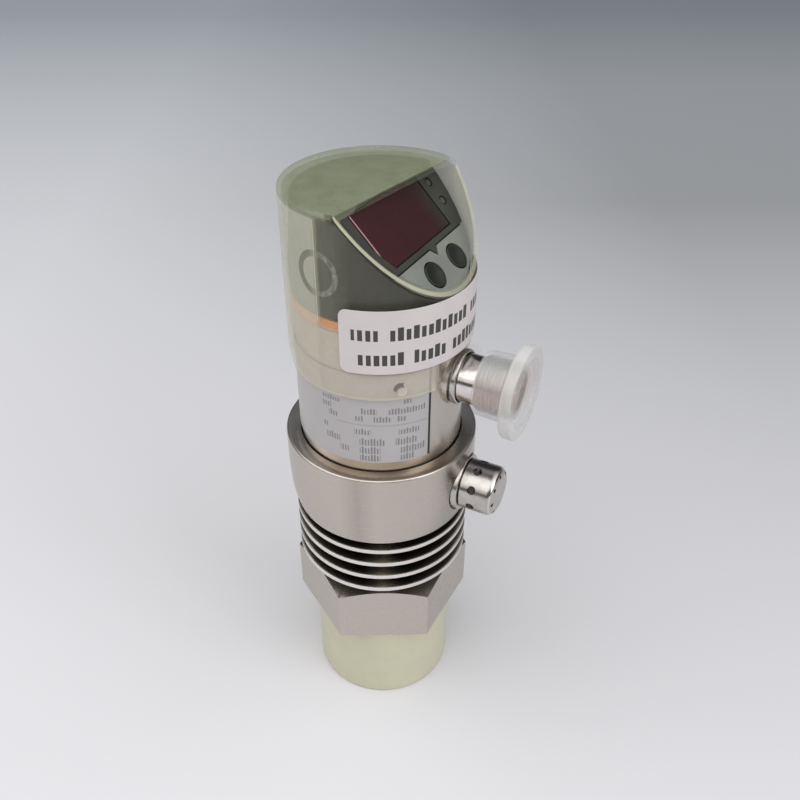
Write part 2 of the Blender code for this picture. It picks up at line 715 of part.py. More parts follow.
def build_vent():
    base = VENT_SEAT + GAP
    lip_end = base + VENT_LIP_H
    neck_r = VENT_R - VENT_CAP_WALL - GAP
    neck_end = lip_end + VENT_NECK_L
    seal_outer = VENT_SPIGOT_R + GAP + VENT_SEAL_W
    seal_depth = VENT_LIP_H / 2.0
    profile = [
        (VENT_BORE_R, neck_end),
        (neck_r, neck_end),
        (neck_r, lip_end),
        (VENT_R, lip_end),
        (VENT_LIP_R, base + VENT_LIP_H / 4.0),
        (VENT_LIP_R, base),
        (seal_outer + GAP, base),
        (seal_outer + GAP, base + seal_depth),
        (VENT_SPIGOT_R, base + seal_depth),
        (VENT_SPIGOT_R, VENT_SPIGOT_END),
        (VENT_BORE_R, VENT_SPIGOT_END),
    ]
    turned("vent_body", profile, MID_SEGMENTS, POLISHED, VENT)
    ring(
        "vent_seal",
        VENT_SPIGOT_R + GAP,
        seal_outer,
        VENT_SEAT + GAP,
        base + seal_depth - GAP,
        SMALL_SEGMENTS,
        RUBBER,
        VENT,
    )
    membrane_low = neck_end + GAP
    membrane_high = membrane_low + VENT_MEMBRANE_T
    rod(
        "vent_membrane",
        neck_r - VENT_MEMBRANE_INSET,
        membrane_low,
        membrane_high,
        SMALL_SEGMENTS,
        CERAMIC,
        VENT,
    )
    cap_low = lip_end + GAP
    inner = VENT_R - VENT_CAP_WALL
    profile = [(0.0, VENT_END), (VENT_R - VENT_EDGE, VENT_END)]
    profile += arc(VENT_R - VENT_EDGE, VENT_END - VENT_EDGE, VENT_EDGE, 72.0, 0.0, 4)
    profile += [
        (VENT_R, cap_low),
        (inner, cap_low),
        (inner, VENT_END - VENT_CAP_FLOOR),
        (0.0, VENT_END - VENT_CAP_FLOOR),
    ]
    cap = turned("vent_cap", profile, MID_SEGMENTS, POLISHED, VENT)
    drain_at = VENT_R - VENT_DRAIN_INSET
    top = math.radians(180.0)
    for i in range(VENT_HOLE_COUNT):
        step = 2.0 * math.pi * i / VENT_HOLE_COUNT
        hole = rod("vent_hole_%d" % (i + 1), VENT_HOLE_R, 0.0, FAR, PIN_SEGMENTS, None, VENT)
        hole.location = (0.0, 0.0, VENT_END - VENT_HOLE_BACK)
        hole.rotation_euler = (0.0, math.radians(90.0), top - VENT_HOLE_TURN + step)
        boolean(cap, hole, "DIFFERENCE")
        angle = top - VENT_DRAIN_TURN + step
        at = (drain_at * math.cos(angle), drain_at * math.sin(angle), VENT_END - VENT_EDGE)
        drain = rod("vent_drain_%d" % (i + 1), VENT_DRAIN_R, -FAR, FAR, PIN_SEGMENTS, None, VENT, at)
        boolean(cap, drain, "DIFFERENCE")


def build_electronics():
    low = BOSS_TOP_Z + GAP
    disc_r = BOSS_R - GAP
    holder = rod("board_holder", disc_r, low, low + HOLDER_T, MID_SEGMENTS, DARK_PLASTIC)
    hole_low = low - FAR
    boolean(
        holder, rod("holder_hole", HOLDER_HOLE_R, hole_low, low + FAR, SMALL_SEGMENTS), "DIFFERENCE"
    )
    deck = low + HOLDER_T
    base = frame("board_frame", (0.0, 0.0, 0.0), (0.0, 0.0, PORT_AZ))
    back = -BOARD_SETBACK - BOARD_T
    half = BOARD_W / 2.0
    for i, side in enumerate((-1.0, 1.0)):
        inner = side * (half - POST_GRIP)
        outer = side * (half + GAP + POST_WALL)
        edge = sorted((inner, outer))
        post = block(
            "post_%d" % (i + 1),
            (back - GAP - POST_WALL, edge[0], deck - HOLDER_T / 2.0),
            (-BOARD_SETBACK + GAP + POST_WALL, edge[1], deck + POST_H),
            None,
            base,
        )
        boolean(holder, post, "UNION")
    slot = block(
        "board_slot",
        (back - GAP, -half - GAP, deck),
        (-BOARD_SETBACK + GAP, half + GAP, deck + FAR),
        None,
        base,
    )
    boolean(holder, slot, "DIFFERENCE")
    board_low = deck + GAP
    block(
        "main_board",
        (back, -half, board_low),
        (-BOARD_SETBACK, half, board_low + BOARD_H),
        BOARD,
        base,
    )


def head_outline(inset, top_inset):
    """The drafted outer side of the head, from its top down to its shoulder."""
    top = HEAD_TOP_Z - top_inset
    draft_z = HEAD_Z + HEAD_STRAIGHT
    return [(HEAD_TOP_R - inset, top), (HEAD_R - inset, draft_z)]


def envelope(name, inset):
    """A solid of the head's outer shape, for clipping what lies in the slanted face."""
    top = HEAD_TOP_Z
    side = head_outline(inset, 0.0)
    foot = HEAD_Z - HEAD_PLUG_H
    profile = [(0.0, top)] + side + [(HEAD_R - inset, foot), (0.0, foot)]
    return turned(name, profile, BIG_SEGMENTS)


def above_plane(name, level, plane):
    """Everything above a level over a slanted plane."""
    return block(name, (-FAR, -FAR, level), (FAR, FAR, level + FAR), None, plane)


def switch_levels():
    """Heights under the slanted face of the switch's top and of the display board's top."""
    stem_end = -PLATE_T - GAP - BUTTON_FLANGE_T - BUTTON_STEM_L
    switch_top = stem_end - BUTTON_TRAVEL - GAP
    return switch_top, switch_top - SWITCH_H - GAP


def build_head():
    deck = -PLATE_T - GAP
    inner_deck = deck - HEAD_WALL
    switch_top, board_top = switch_levels()
    plug_r = TUBE_BORE_R - GAP
    plug_z = HEAD_Z - HEAD_PLUG_H
    side = head_outline(0.0, HEAD_EDGE)
    profile = [(0.0, HEAD_TOP_Z), (HEAD_TOP_R - HEAD_EDGE, HEAD_TOP_Z)] + side
    profile += [(HEAD_R, HEAD_Z), (plug_r, HEAD_Z), (plug_r, plug_z), (0.0, plug_z)]
    head = turned("head_housing", profile, BIG_SEGMENTS, DARK_PLASTIC)
    boolean(head, above_plane("face_cut", deck, FACE), "DIFFERENCE")

    roof = HEAD_TOP_Z - HEAD_WALL
    cavity_profile = [
        (0.0, roof),
        (HEAD_TOP_R - HEAD_WALL, roof),
        (HEAD_R - HEAD_WALL, HEAD_Z + HEAD_STRAIGHT),
        (HEAD_R - HEAD_WALL, HEAD_Z + HEAD_WALL),
        (plug_r - HEAD_PLUG_WALL, HEAD_Z),
        (plug_r - HEAD_PLUG_WALL, plug_z - FAR),
        (0.0, plug_z - FAR),
    ]
    cavity = turned("head_cavity", cavity_profile, BIG_SEGMENTS)
    boolean(cavity, above_plane("cavity_cut", inner_deck, FACE), "DIFFERENCE")
    boolean(head, cavity, "DIFFERENCE")

    view = block(
        "display_opening",
        (WINDOW_LEFT + WINDOW_LEDGE + GAP, -WINDOW_BOTTOM + WINDOW_LEDGE, inner_deck - HEAD_WALL),
        (WINDOW_RIGHT - WINDOW_LEDGE, -WINDOW_TOP - WINDOW_LEDGE, FAR),
        None,
        FACE,
    )
    boolean(head, view, "DIFFERENCE")
    for i, side_sign in enumerate((-1.0, 1.0)):
        at = (side_sign * BUTTON_U, -BUTTON_V, 0.0)
        pocket = rod(
            "button_pocket_%d" % (i + 1),
            BUTTON_R + BUTTON_FLANGE_W + GAP,
            inner_deck - HEAD_WALL,
            FAR,
            SMALL_SEGMENTS,
            None,
            FACE,
            at,
        )
        boolean(head, pocket, "DIFFERENCE")
    for i, (u, v) in enumerate(PIPE_SPOTS):
        at = (u, -v, 0.0)
        hole = rod(
            "pipe_hole_%d" % (i + 1),
            PIPE_R + GAP,
            inner_deck - HEAD_WALL,
            FAR,
            PIN_SEGMENTS,
            None,
            FACE,
            at,
        )
        boolean(head, hole, "DIFFERENCE")
    for i, (u, v) in enumerate(SCREW_SPOTS):
        at = (u, -v, 0.0)
        boss_low = board_top + GAP
        boss = rod(
            "boss_%d" % (i + 1),
            SCREW_BOSS_R,
            boss_low,
            (deck + inner_deck) / 2.0,
            SMALL_SEGMENTS,
            None,
            FACE,
            at,
        )
        boolean(head, boss, "UNION")
    for i, (u, v) in enumerate(SCREW_SPOTS):
        at = (u, -v, 0.0)
        hole_top = board_top + GAP + SCREW_GRIP + GAP
        hole = rod(
            "boss_hole_%d" % (i + 1),
            SCREW_R + GAP,
            -FAR,
            hole_top,
            PIN_SEGMENTS,
            None,
            FACE,
            at,
        )
        boolean(head, hole, "DIFFERENCE")


def pointer(name, grow, low, high):
    """The small triangle of the frame that points down between the buttons."""
    rise = TAB_H
    half = TAB_W * (TAB_H + grow + rise) / TAB_H
    outline = [(-half, rise - FRAME_V), (half, rise - FRAME_V), (0.0, -FRAME_V - TAB_H - grow)]
    return plate(name, outline, low, high, None, FACE)


def build_face():
    reach = 1.6 * HEAD_R
    face_frame = block(
        "display_frame", (-reach, -FRAME_V, -PLATE_T), (reach, reach, 0.0), DARK_PLASTIC, FACE
    )
    boolean(face_frame, pointer("pointer_tab", 0.0, -PLATE_T, 0.0), "UNION")
    boolean(face_frame, envelope("frame_envelope", PLATE_INSET), "INTERSECT")
    opening = block(
        "window_opening",
        (WINDOW_LEFT - GAP, -WINDOW_BOTTOM - GAP, -FAR),
        (WINDOW_RIGHT + GAP, -WINDOW_TOP + GAP, FAR),
        None,
        FACE,
    )
    boolean(opening, envelope("opening_envelope", PLATE_INSET + WINDOW_RIM), "INTERSECT")
    boolean(face_frame, opening, "DIFFERENCE")
    for i, (u, v) in enumerate(PIPE_SPOTS):
        name = "frame_hole_%d" % (i + 1)
        hole = rod(name, PIPE_R + GAP, -FAR, FAR, PIN_SEGMENTS, None, FACE, (u, -v, 0.0))
        boolean(face_frame, hole, "DIFFERENCE")

    window = block(
        "display_window",
        (WINDOW_LEFT, -WINDOW_BOTTOM, -PLATE_T),
        (WINDOW_RIGHT, -WINDOW_TOP, -WINDOW_SINK),
        RED_FILTER,
        FACE,
    )
    boolean(window, envelope("window_envelope", PLATE_INSET + WINDOW_RIM + GAP), "INTERSECT")

    low = (-reach, -reach, -PLATE_T)
    panel = block("key_panel", low, (reach, -FRAME_V - GAP, 0.0), PANEL_PLASTIC, FACE)
    grow = GAP * math.hypot(TAB_W, TAB_H) / TAB_W
    boolean(panel, pointer("pointer_notch", grow, -2.0 * PLATE_T, PLATE_T), "DIFFERENCE")
    boolean(panel, envelope("panel_envelope", PLATE_INSET), "INTERSECT")
    for i, side in enumerate((-1.0, 1.0)):
        at = (side * BUTTON_U, -BUTTON_V, 0.0)
        name = "key_hole_%d" % (i + 1)
        hole = rod(name, BUTTON_R + GAP, -FAR, FAR, SMALL_SEGMENTS, None, FACE, at)
        boolean(panel, hole, "DIFFERENCE")


def build_buttons():
    flange_top = -PLATE_T - GAP
    flange_low = flange_top - BUTTON_FLANGE_T
    stem_low = flange_low - BUTTON_STEM_L
    flange_r = BUTTON_R + BUTTON_FLANGE_W
    crown = BUTTON_R - BUTTON_DISH
    profile = [
        (0.0, BUTTON_PROUD - BUTTON_DISH),
        (crown * 0.55, BUTTON_PROUD - BUTTON_DISH * 0.7),
        (crown, BUTTON_PROUD),
        (BUTTON_R, BUTTON_PROUD - BUTTON_DISH),
        (BUTTON_R, flange_top),
        (flange_r, flange_top),
        (flange_r, flange_low),
        (BUTTON_STEM_R, flange_low),
        (BUTTON_STEM_R, stem_low),
        (0.0, stem_low),
    ]
    switch_top, board_top = switch_levels()
    for i, side in enumerate((-1.0, 1.0)):
        at = (side * BUTTON_U, -BUTTON_V, 0.0)
        turned("push_button_%d" % (i + 1), profile, SMALL_SEGMENTS, RUBBER, FACE, at)
        half = SWITCH_W / 2.0
        block(
            "tact_switch_%d" % (i + 1),
            (at[0] - half, at[1] - half, board_top + GAP),
            (at[0] + half, at[1] + half, switch_top),
            DARK_PLASTIC,
            FACE,
        )


def build_display():
    board_top = switch_levels()[1]
    board_low = board_top - DISPLAY_BOARD_T
    half = DISPLAY_BOARD_W / 2.0
    board = block(
        "display_board",
        (-half, -DISPLAY_BOARD_BOTTOM, board_low),
        (half, -DISPLAY_BOARD_TOP, board_top),
        BOARD,
        FACE,
    )
    limit_r = TUBE_BORE_R - GAP - HEAD_PLUG_WALL - GAP
    limit = rod("display_board_limit", limit_r, HEAD_Z - FAR, HEAD_TOP_Z, MID_SEGMENTS)
    boolean(board, limit, "INTERSECT")
    seat = board_top + GAP
    block(
        "digit_module",
        (DIGIT_LEFT, -DIGIT_BOTTOM, seat),
        (DIGIT_RIGHT, -DIGIT_TOP, -PLATE_T - DIGIT_AIR),
        RED_FILTER,
        FACE,
    )
    pipe_top = -WINDOW_SINK
    for i, (u, v) in enumerate(PIPE_SPOTS):
        at = (u, -v, 0.0)
        name = "light_pipe_%d" % (i + 1)
        rod(name, PIPE_R, pipe_top - PIPE_L, pipe_top, PIN_SEGMENTS, CLEAR_PLASTIC, FACE, at)
        led_half = LED_W / 2.0
        block(
            "status_led_%d" % (i + 1),
            (u - led_half, -v - led_half, seat),
            (u + led_half, -v + led_half, pipe_top - PIPE_L - GAP),
            CLEAR_PLASTIC,
            FACE,
        )
    head_high = board_low - GAP
    profile = [
        (0.0, board_top + GAP + SCREW_GRIP),
        (SCREW_R, board_top + GAP + SCREW_GRIP),
        (SCREW_R, head_high),
        (SCREW_HEAD_R, head_high),
        (SCREW_HEAD_R, head_high - SCREW_HEAD_T),
        (0.0, head_high - SCREW_HEAD_T),
    ]
    for i, (u, v) in enumerate(SCREW_SPOTS):
        at = (u, -v, 0.0)
        name = "board_screw_hole_%d" % (i + 1)
        hole = rod(name, SCREW_R + GAP, -FAR, FAR, PIN_SEGMENTS, None, FACE, at)
        boolean(board, hole, "DIFFERENCE")
        turned("display_screw_%d" % (i + 1), profile, PIN_SEGMENTS, STEEL, FACE, at)


def build_cover():
    low = COVER_FOOT_Z - FAR
    bevel_z = COVER_FOOT_Z + COVER_BEVEL_H
    profile = [(0.0, COVER_TOP_Z)]
    profile += arc(COVER_R - COVER_EDGE, COVER_TOP_Z - COVER_EDGE, COVER_EDGE, 90.0, 0.0, 3)
    foot_r = COVER_FOOT_BORE_R + COVER_LIP
    profile += [(COVER_R, bevel_z), (foot_r, COVER_FOOT_Z), (foot_r, low), (0.0, low)]
    cover = turned("head_cover", profile, BIG_SEGMENTS, COVER_PLASTIC)

    hood_bore = PORT_LIP_R + HOOD_CLEARANCE
    hood_r = hood_bore + HOOD_WALL
    hood_end = COVER_R + HOOD_REACH
    boolean(cover, rod("hood", hood_r, 0.0, hood_end, MID_SEGMENTS, None, PORT), "UNION")
    gate = side_frame("gate_frame", GATE_AZ, COVER_FOOT_Z + GATE_RISE)
    stub = rod("gate_stub", GATE_R, 0.0, COVER_R + GATE_L, PIN_SEGMENTS, None, gate)
    boolean(cover, stub, "UNION")
    boolean(cover, above_plane("cover_face_cut", 0.0, COVER_CUT), "DIFFERENCE")

    roof = COVER_TOP_Z - COVER_TOP_T
    inner = COVER_R - COVER_WALL
    edge = COVER_EDGE - COVER_WALL / 2.0
    hollow_profile = [(0.0, roof), (inner - edge, roof), (inner, roof - edge)]
    hollow_profile += [
        (inner, bevel_z),
        (COVER_FOOT_BORE_R, COVER_FOOT_Z),
        (COVER_FOOT_BORE_R, low - FAR),
        (0.0, low - FAR),
    ]
    boolean(cover, turned("cover_hollow", hollow_profile, BIG_SEGMENTS), "DIFFERENCE")
    foot = block("cover_foot_cut", (-FAR, -FAR, low - FAR), (FAR, FAR, COVER_FOOT_Z))
    boolean(cover, foot, "DIFFERENCE")
    passage = rod("hood_passage", hood_bore, 0.0, FAR, MID_SEGMENTS, None, PORT)
    boolean(cover, passage, "DIFFERENCE")

    sticker_z = COVER_FOOT_Z + STICKER_RISE
    curved_sheet(
        "cover_sticker",
        COVER_R + SKIN_GAP,
        STICKER_T,
        sticker_z,
        sticker_z + STICKER_H,
        STICKER_START,
        STICKER_END,
        STICKER_PAPER,
    )


build_thread_cap()
build_process_body()
build_cell_stack()
build_collar()
build_tube()
build_port()
build_port_cap()
build_vent()
build_electronics()
build_head()
build_face()
build_buttons()
build_display()
build_cover()
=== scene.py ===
"""The looks of the pressure sensor: finishes, fine turned pieces, stage, light and camera."""
import json
import math
from functools import reduce

import bmesh
import bpy
from mathutils import Matrix, Vector


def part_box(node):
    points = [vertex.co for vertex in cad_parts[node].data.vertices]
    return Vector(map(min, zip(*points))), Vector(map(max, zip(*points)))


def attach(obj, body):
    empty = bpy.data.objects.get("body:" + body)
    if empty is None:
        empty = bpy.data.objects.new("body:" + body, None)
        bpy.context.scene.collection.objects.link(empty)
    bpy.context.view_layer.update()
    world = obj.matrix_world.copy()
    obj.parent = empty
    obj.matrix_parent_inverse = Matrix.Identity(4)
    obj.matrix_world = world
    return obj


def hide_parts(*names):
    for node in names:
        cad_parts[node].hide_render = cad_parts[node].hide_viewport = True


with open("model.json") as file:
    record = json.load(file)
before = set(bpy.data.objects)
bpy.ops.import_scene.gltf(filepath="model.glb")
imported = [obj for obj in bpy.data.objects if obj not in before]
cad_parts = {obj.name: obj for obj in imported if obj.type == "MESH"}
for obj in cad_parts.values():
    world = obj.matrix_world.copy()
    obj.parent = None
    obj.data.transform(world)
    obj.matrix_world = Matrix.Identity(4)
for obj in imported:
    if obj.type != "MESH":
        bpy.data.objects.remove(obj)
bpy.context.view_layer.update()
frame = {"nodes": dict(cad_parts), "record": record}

MM = 0.001
NODES = frame["nodes"]
SLOTS = {entry["node"]: entry["material_slot"] for entry in frame["record"]["subparts"]}
HOUSING = "housing"

# Reach of the cutters, gap between parts, steps round turned pieces, and sharp edges
FAR = 80.0 * MM
GAP = 0.3 * MM
FINE = 144
MEDIUM = 96
SMALL = 40
SHARP = math.radians(32.0)

# Rings left by turning: how much they wander round the axis, and rings per metre
FINE_RINGS = (2.0, 7000.0)
BROAD_RINGS = (1.2, 1100.0)


def low_z(node):
    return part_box(node)[0][2]


def high_z(node):
    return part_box(node)[1][2]


# Camera, fitted to the photograph
CAMERA_BACK = 157.55 * MM
CAMERA_HEIGHT = 196.8 * MM
CAMERA_PITCH = 0.6235
CAMERA_YAW = 0.027
CAMERA_ROLL = -0.0048
CAMERA_LENS = 38.405

# Foot cap
CAP_R = 17.3 * MM
CAP_WALL = 0.9 * MM
CAP_FLOOR = 1.2 * MM
CAP_EDGE = 0.7 * MM
CAP_LIP = 0.2 * MM

# Process body
SPIGOT_R = CAP_R - CAP_WALL - GAP
SPIGOT_CHAMFER = 0.8 * MM
UNDERCUT_DEPTH = 1.1 * MM
UNDERCUT_H = 2.6 * MM
HEX_Z = 24.6 * MM
HEX_H = 15.2 * MM
HEX_AF = 37.1 * MM
HEX_CHAMFER_H = 1.7 * MM
HEX_EDGE = 0.15 * MM
FIN_R = 20.6 * MM
FIN_ROOT_R = 13.0 * MM
FIN_T = 1.1 * MM
FIN_PITCH = 4.1 * MM
FIN_COUNT = 4
FIN_CLEARANCE = 3.05 * MM
FIN_EDGE = 0.12 * MM
CHAMBER_R = 10.8 * MM

# Tube, label and collar
TUBE_R = 18.2 * MM
TUBE_BORE_R = 17.2 * MM
BOSS_R = 17.0 * MM
SKIN_GAP = 0.2 * MM
SKIN_T = 0.12 * MM
LABEL_END = math.radians(-56.5)
LABEL_START = math.radians(-236.0)
LABEL_DARK_END_W = 0.55 * MM
LABEL_RULE_Z = 90.2 * MM
COLLAR_R = 21.8 * MM
COLLAR_FOOT_R = 20.4 * MM
COLLAR_CHAMFER = 0.5 * MM
COLLAR_SHOULDER = 3.9 * MM
COLLAR_STEPS = 16
COLLAR_TUCK = 3.2
COLLAR_SPACING = 0.75

# Plug and its milky cap
PORT_AZ = math.radians(-28.0)
PORT_Z = 96.0 * MM
PORT_THREAD_R = 5.9 * MM
PORT_THREAD_L = 8.4 * MM
PORT_RIDGE = 0.45 * MM
PORT_RIDGES = 9
PORT_RUNOUT = 0.3 * MM
RIDGE_SHADE_PITCH = 0.93 * MM
PORT_LIP_R = 6.3 * MM
PORT_LIP_END = 18.5 * MM
PORT_NUT_R = 6.0 * MM
PORT_NUT_L = 1.3 * MM
PORT_NECK_L = 3.2 * MM
PORT_STEM_R = 5.3 * MM
PORT_FLANGE_R = 7.4 * MM
PORT_FLANGE_L = 2.4 * MM
PORT_SEAL_L = 1.1 * MM
PORT_BORE_R = 4.5 * MM
PORT_CAP_R = 7.0 * MM
PORT_CAP_DRAFT = 0.3 * MM
PORT_CAP_EDGE = 0.7 * MM
PORT_CAP_FLANGE_R = 10.1 * MM
PORT_CAP_FLANGE_T = 2.7 * MM
PORT_CAP_WALL = 0.9 * MM
PORT_CAP_RECESS_R = 5.8 * MM
PORT_CAP_RECESS_DEPTH = 0.5 * MM

# Vent on the collar
VENT_AZ = math.radians(-28.0)
VENT_Z = low_z("collar_ring") + 9.2 * MM
VENT_R = 5.8 * MM
VENT_SEAT = 20.2 * MM
VENT_END = 30.0 * MM
VENT_EDGE = 1.8 * MM
VENT_LIP_R = 6.6 * MM
VENT_LIP_H = 1.5 * MM
VENT_WALL = 0.9 * MM
VENT_FLOOR = 1.2 * MM
VENT_HOLE_R = 1.0 * MM
VENT_HOLE_COUNT = 8
VENT_HOLE_BACK = 5.0 * MM
VENT_HOLE_TURN = math.radians(27.0)
VENT_DRAIN_R = 0.45 * MM
VENT_DRAIN_AT = 4.5 * MM
VENT_DRAIN_REACH = 4.0 * MM
VENT_DRAIN_TURN = math.radians(42.0)
VENT_SPIGOT_R = 3.0 * MM
VENT_SPIGOT_END = 16.0 * MM
VENT_BORE_R = 1.5 * MM
VENT_NECK_L = 0.9 * MM
VENT_SEAL_R = 4.3 * MM

# Slanted face and its buttons
FACE_AZ = math.radians(-30.0)
FACE_SLOPE = math.radians(45.0)
FACE_D = 2.0 * MM
FACE_Z = high_z("head_housing") - 0.45 * MM
BUTTON_R = 2.6 * MM
BUTTON_U = 4.7 * MM
BUTTON_V = 18.334 * MM
BUTTON_DISH = 0.3 * MM
BUTTON_PROUD = 0.1 * MM
BUTTON_FLANGE_R = 3.15 * MM
BUTTON_FLANGE_T = 0.6 * MM
BUTTON_STEM_R = 1.2 * MM
BUTTON_STEM_L = 0.8 * MM
PLATE_T = 1.2 * MM
WINDOW_LEFT = -14.7 * MM
WINDOW_RIGHT = 9.6 * MM

# Translucent cover and sticker
COVER_R = 19.7 * MM
COVER_WALL = 0.8 * MM
COVER_TOP_T = 0.9 * MM
COVER_EDGE = 0.9 * MM
COVER_BEVEL_H = 3.8 * MM
COVER_FOOT_BORE_R = 18.82 * MM
COVER_FOOT_R = 19.22 * MM
COVER_AZ = math.radians(-38.0)
COVER_SLOPE = math.radians(49.1)
COVER_CUT_D = 4.3 * MM
HOOD_BORE_R = 7.0 * MM
HOOD_R = 7.6 * MM
HOOD_END = COVER_R + 1.1 * MM
CLEAR_W = 17.6 * MM
CLEAR_BORDER = 9.1 * MM
GATE_AZ = math.radians(-78.6)
GATE_R = 1.1 * MM
GATE_L = 0.9 * MM
GATE_RISE = 2.9 * MM
PARTING_AZ = math.radians(-127.6)
PARTING_LOW_Z = 113.5 * MM
RING_AZ = math.radians(-126.5)
RING_Z = 123.7 * MM
RING_R = 4.1 * MM
RING_W = 1.0 * MM
STICKER_START = math.radians(-113.5)
STICKER_END = math.radians(14.0)
STICKER_CORNER = 1.7 * MM
SHEET_STEPS = 120
CORNER_STEPS = 8

# Stage, in metres
FLOOR_NEAR = -1.6
FLOOR_FAR = 1.4
CURVE_R = 0.9
CURVE_STEPS = 12
WALL_TOP = 2.6
STAGE_HALF_W = 3.0


def side_place(azimuth, height):
    """A frame whose local +Z points outwards at the azimuth."""
    turn = Matrix.Rotation(azimuth, 4, "Z") @ Matrix.Rotation(math.radians(90.0), 4, "Y")
    return Matrix.Translation((0.0, 0.0, height)) @ turn


def slanted_place(azimuth, slope, distance, height):
    """A frame whose local +Z is a slanted plane's normal and whose +Y runs up its slope."""
    turn = Matrix.Rotation(azimuth + math.radians(90.0), 4, "Z") @ Matrix.Rotation(slope, 4, "X")
    at = (distance * math.cos(azimuth), distance * math.sin(azimuth), height)
    return Matrix.Translation(at) @ turn


HERE = Matrix.Identity(4)
PORT = side_place(PORT_AZ, PORT_Z)
VENT = side_place(VENT_AZ, VENT_Z)
FACE = slanted_place(FACE_AZ, FACE_SLOPE, FACE_D, FACE_Z)
COVER_CUT = slanted_place(COVER_AZ, COVER_SLOPE, COVER_CUT_D, high_z("head_cover"))


class Socket:
    """A shader socket that turns arithmetic into Math nodes."""

    def __init__(self, finish, socket):
        self.finish = finish
        self.socket = socket

    def _math(self, operation, *values):
        return self.finish.node("ShaderNodeMath", {"operation": operation}, values)

    def __add__(self, other):
        return self._math("ADD", self, other)

    def __radd__(self, other):
        return self._math("ADD", other, self)

    def __sub__(self, other):
        return self._math("SUBTRACT", self, other)

    def __rsub__(self, other):
        return self._math("SUBTRACT", other, self)

    def __mul__(self, other):
        return self._math("MULTIPLY", self, other)

    def __rmul__(self, other):
        return self._math("MULTIPLY", other, self)

    def __truediv__(self, other):
        return self._math("DIVIDE", self, other)

    def __lt__(self, other):
        return self._math("LESS_THAN", self, other)

    def __gt__(self, other):
        return self._math("GREATER_THAN", self, other)

    def abs(self):
        return self._math("ABSOLUTE", self)

    def frac(self):
        return self._math("FRACT", self)

    def floor(self):
        return self._math("FLOOR", self)

    def atan2(self, other):
        return self._math("ARCTAN2", self, other)

    def max(self, other):
        return self._math("MAXIMUM", self, other)

    def sqrt(self):
        return self._math("SQRT", self)


def length(along, across):
    return (along * along + across * across).sqrt()


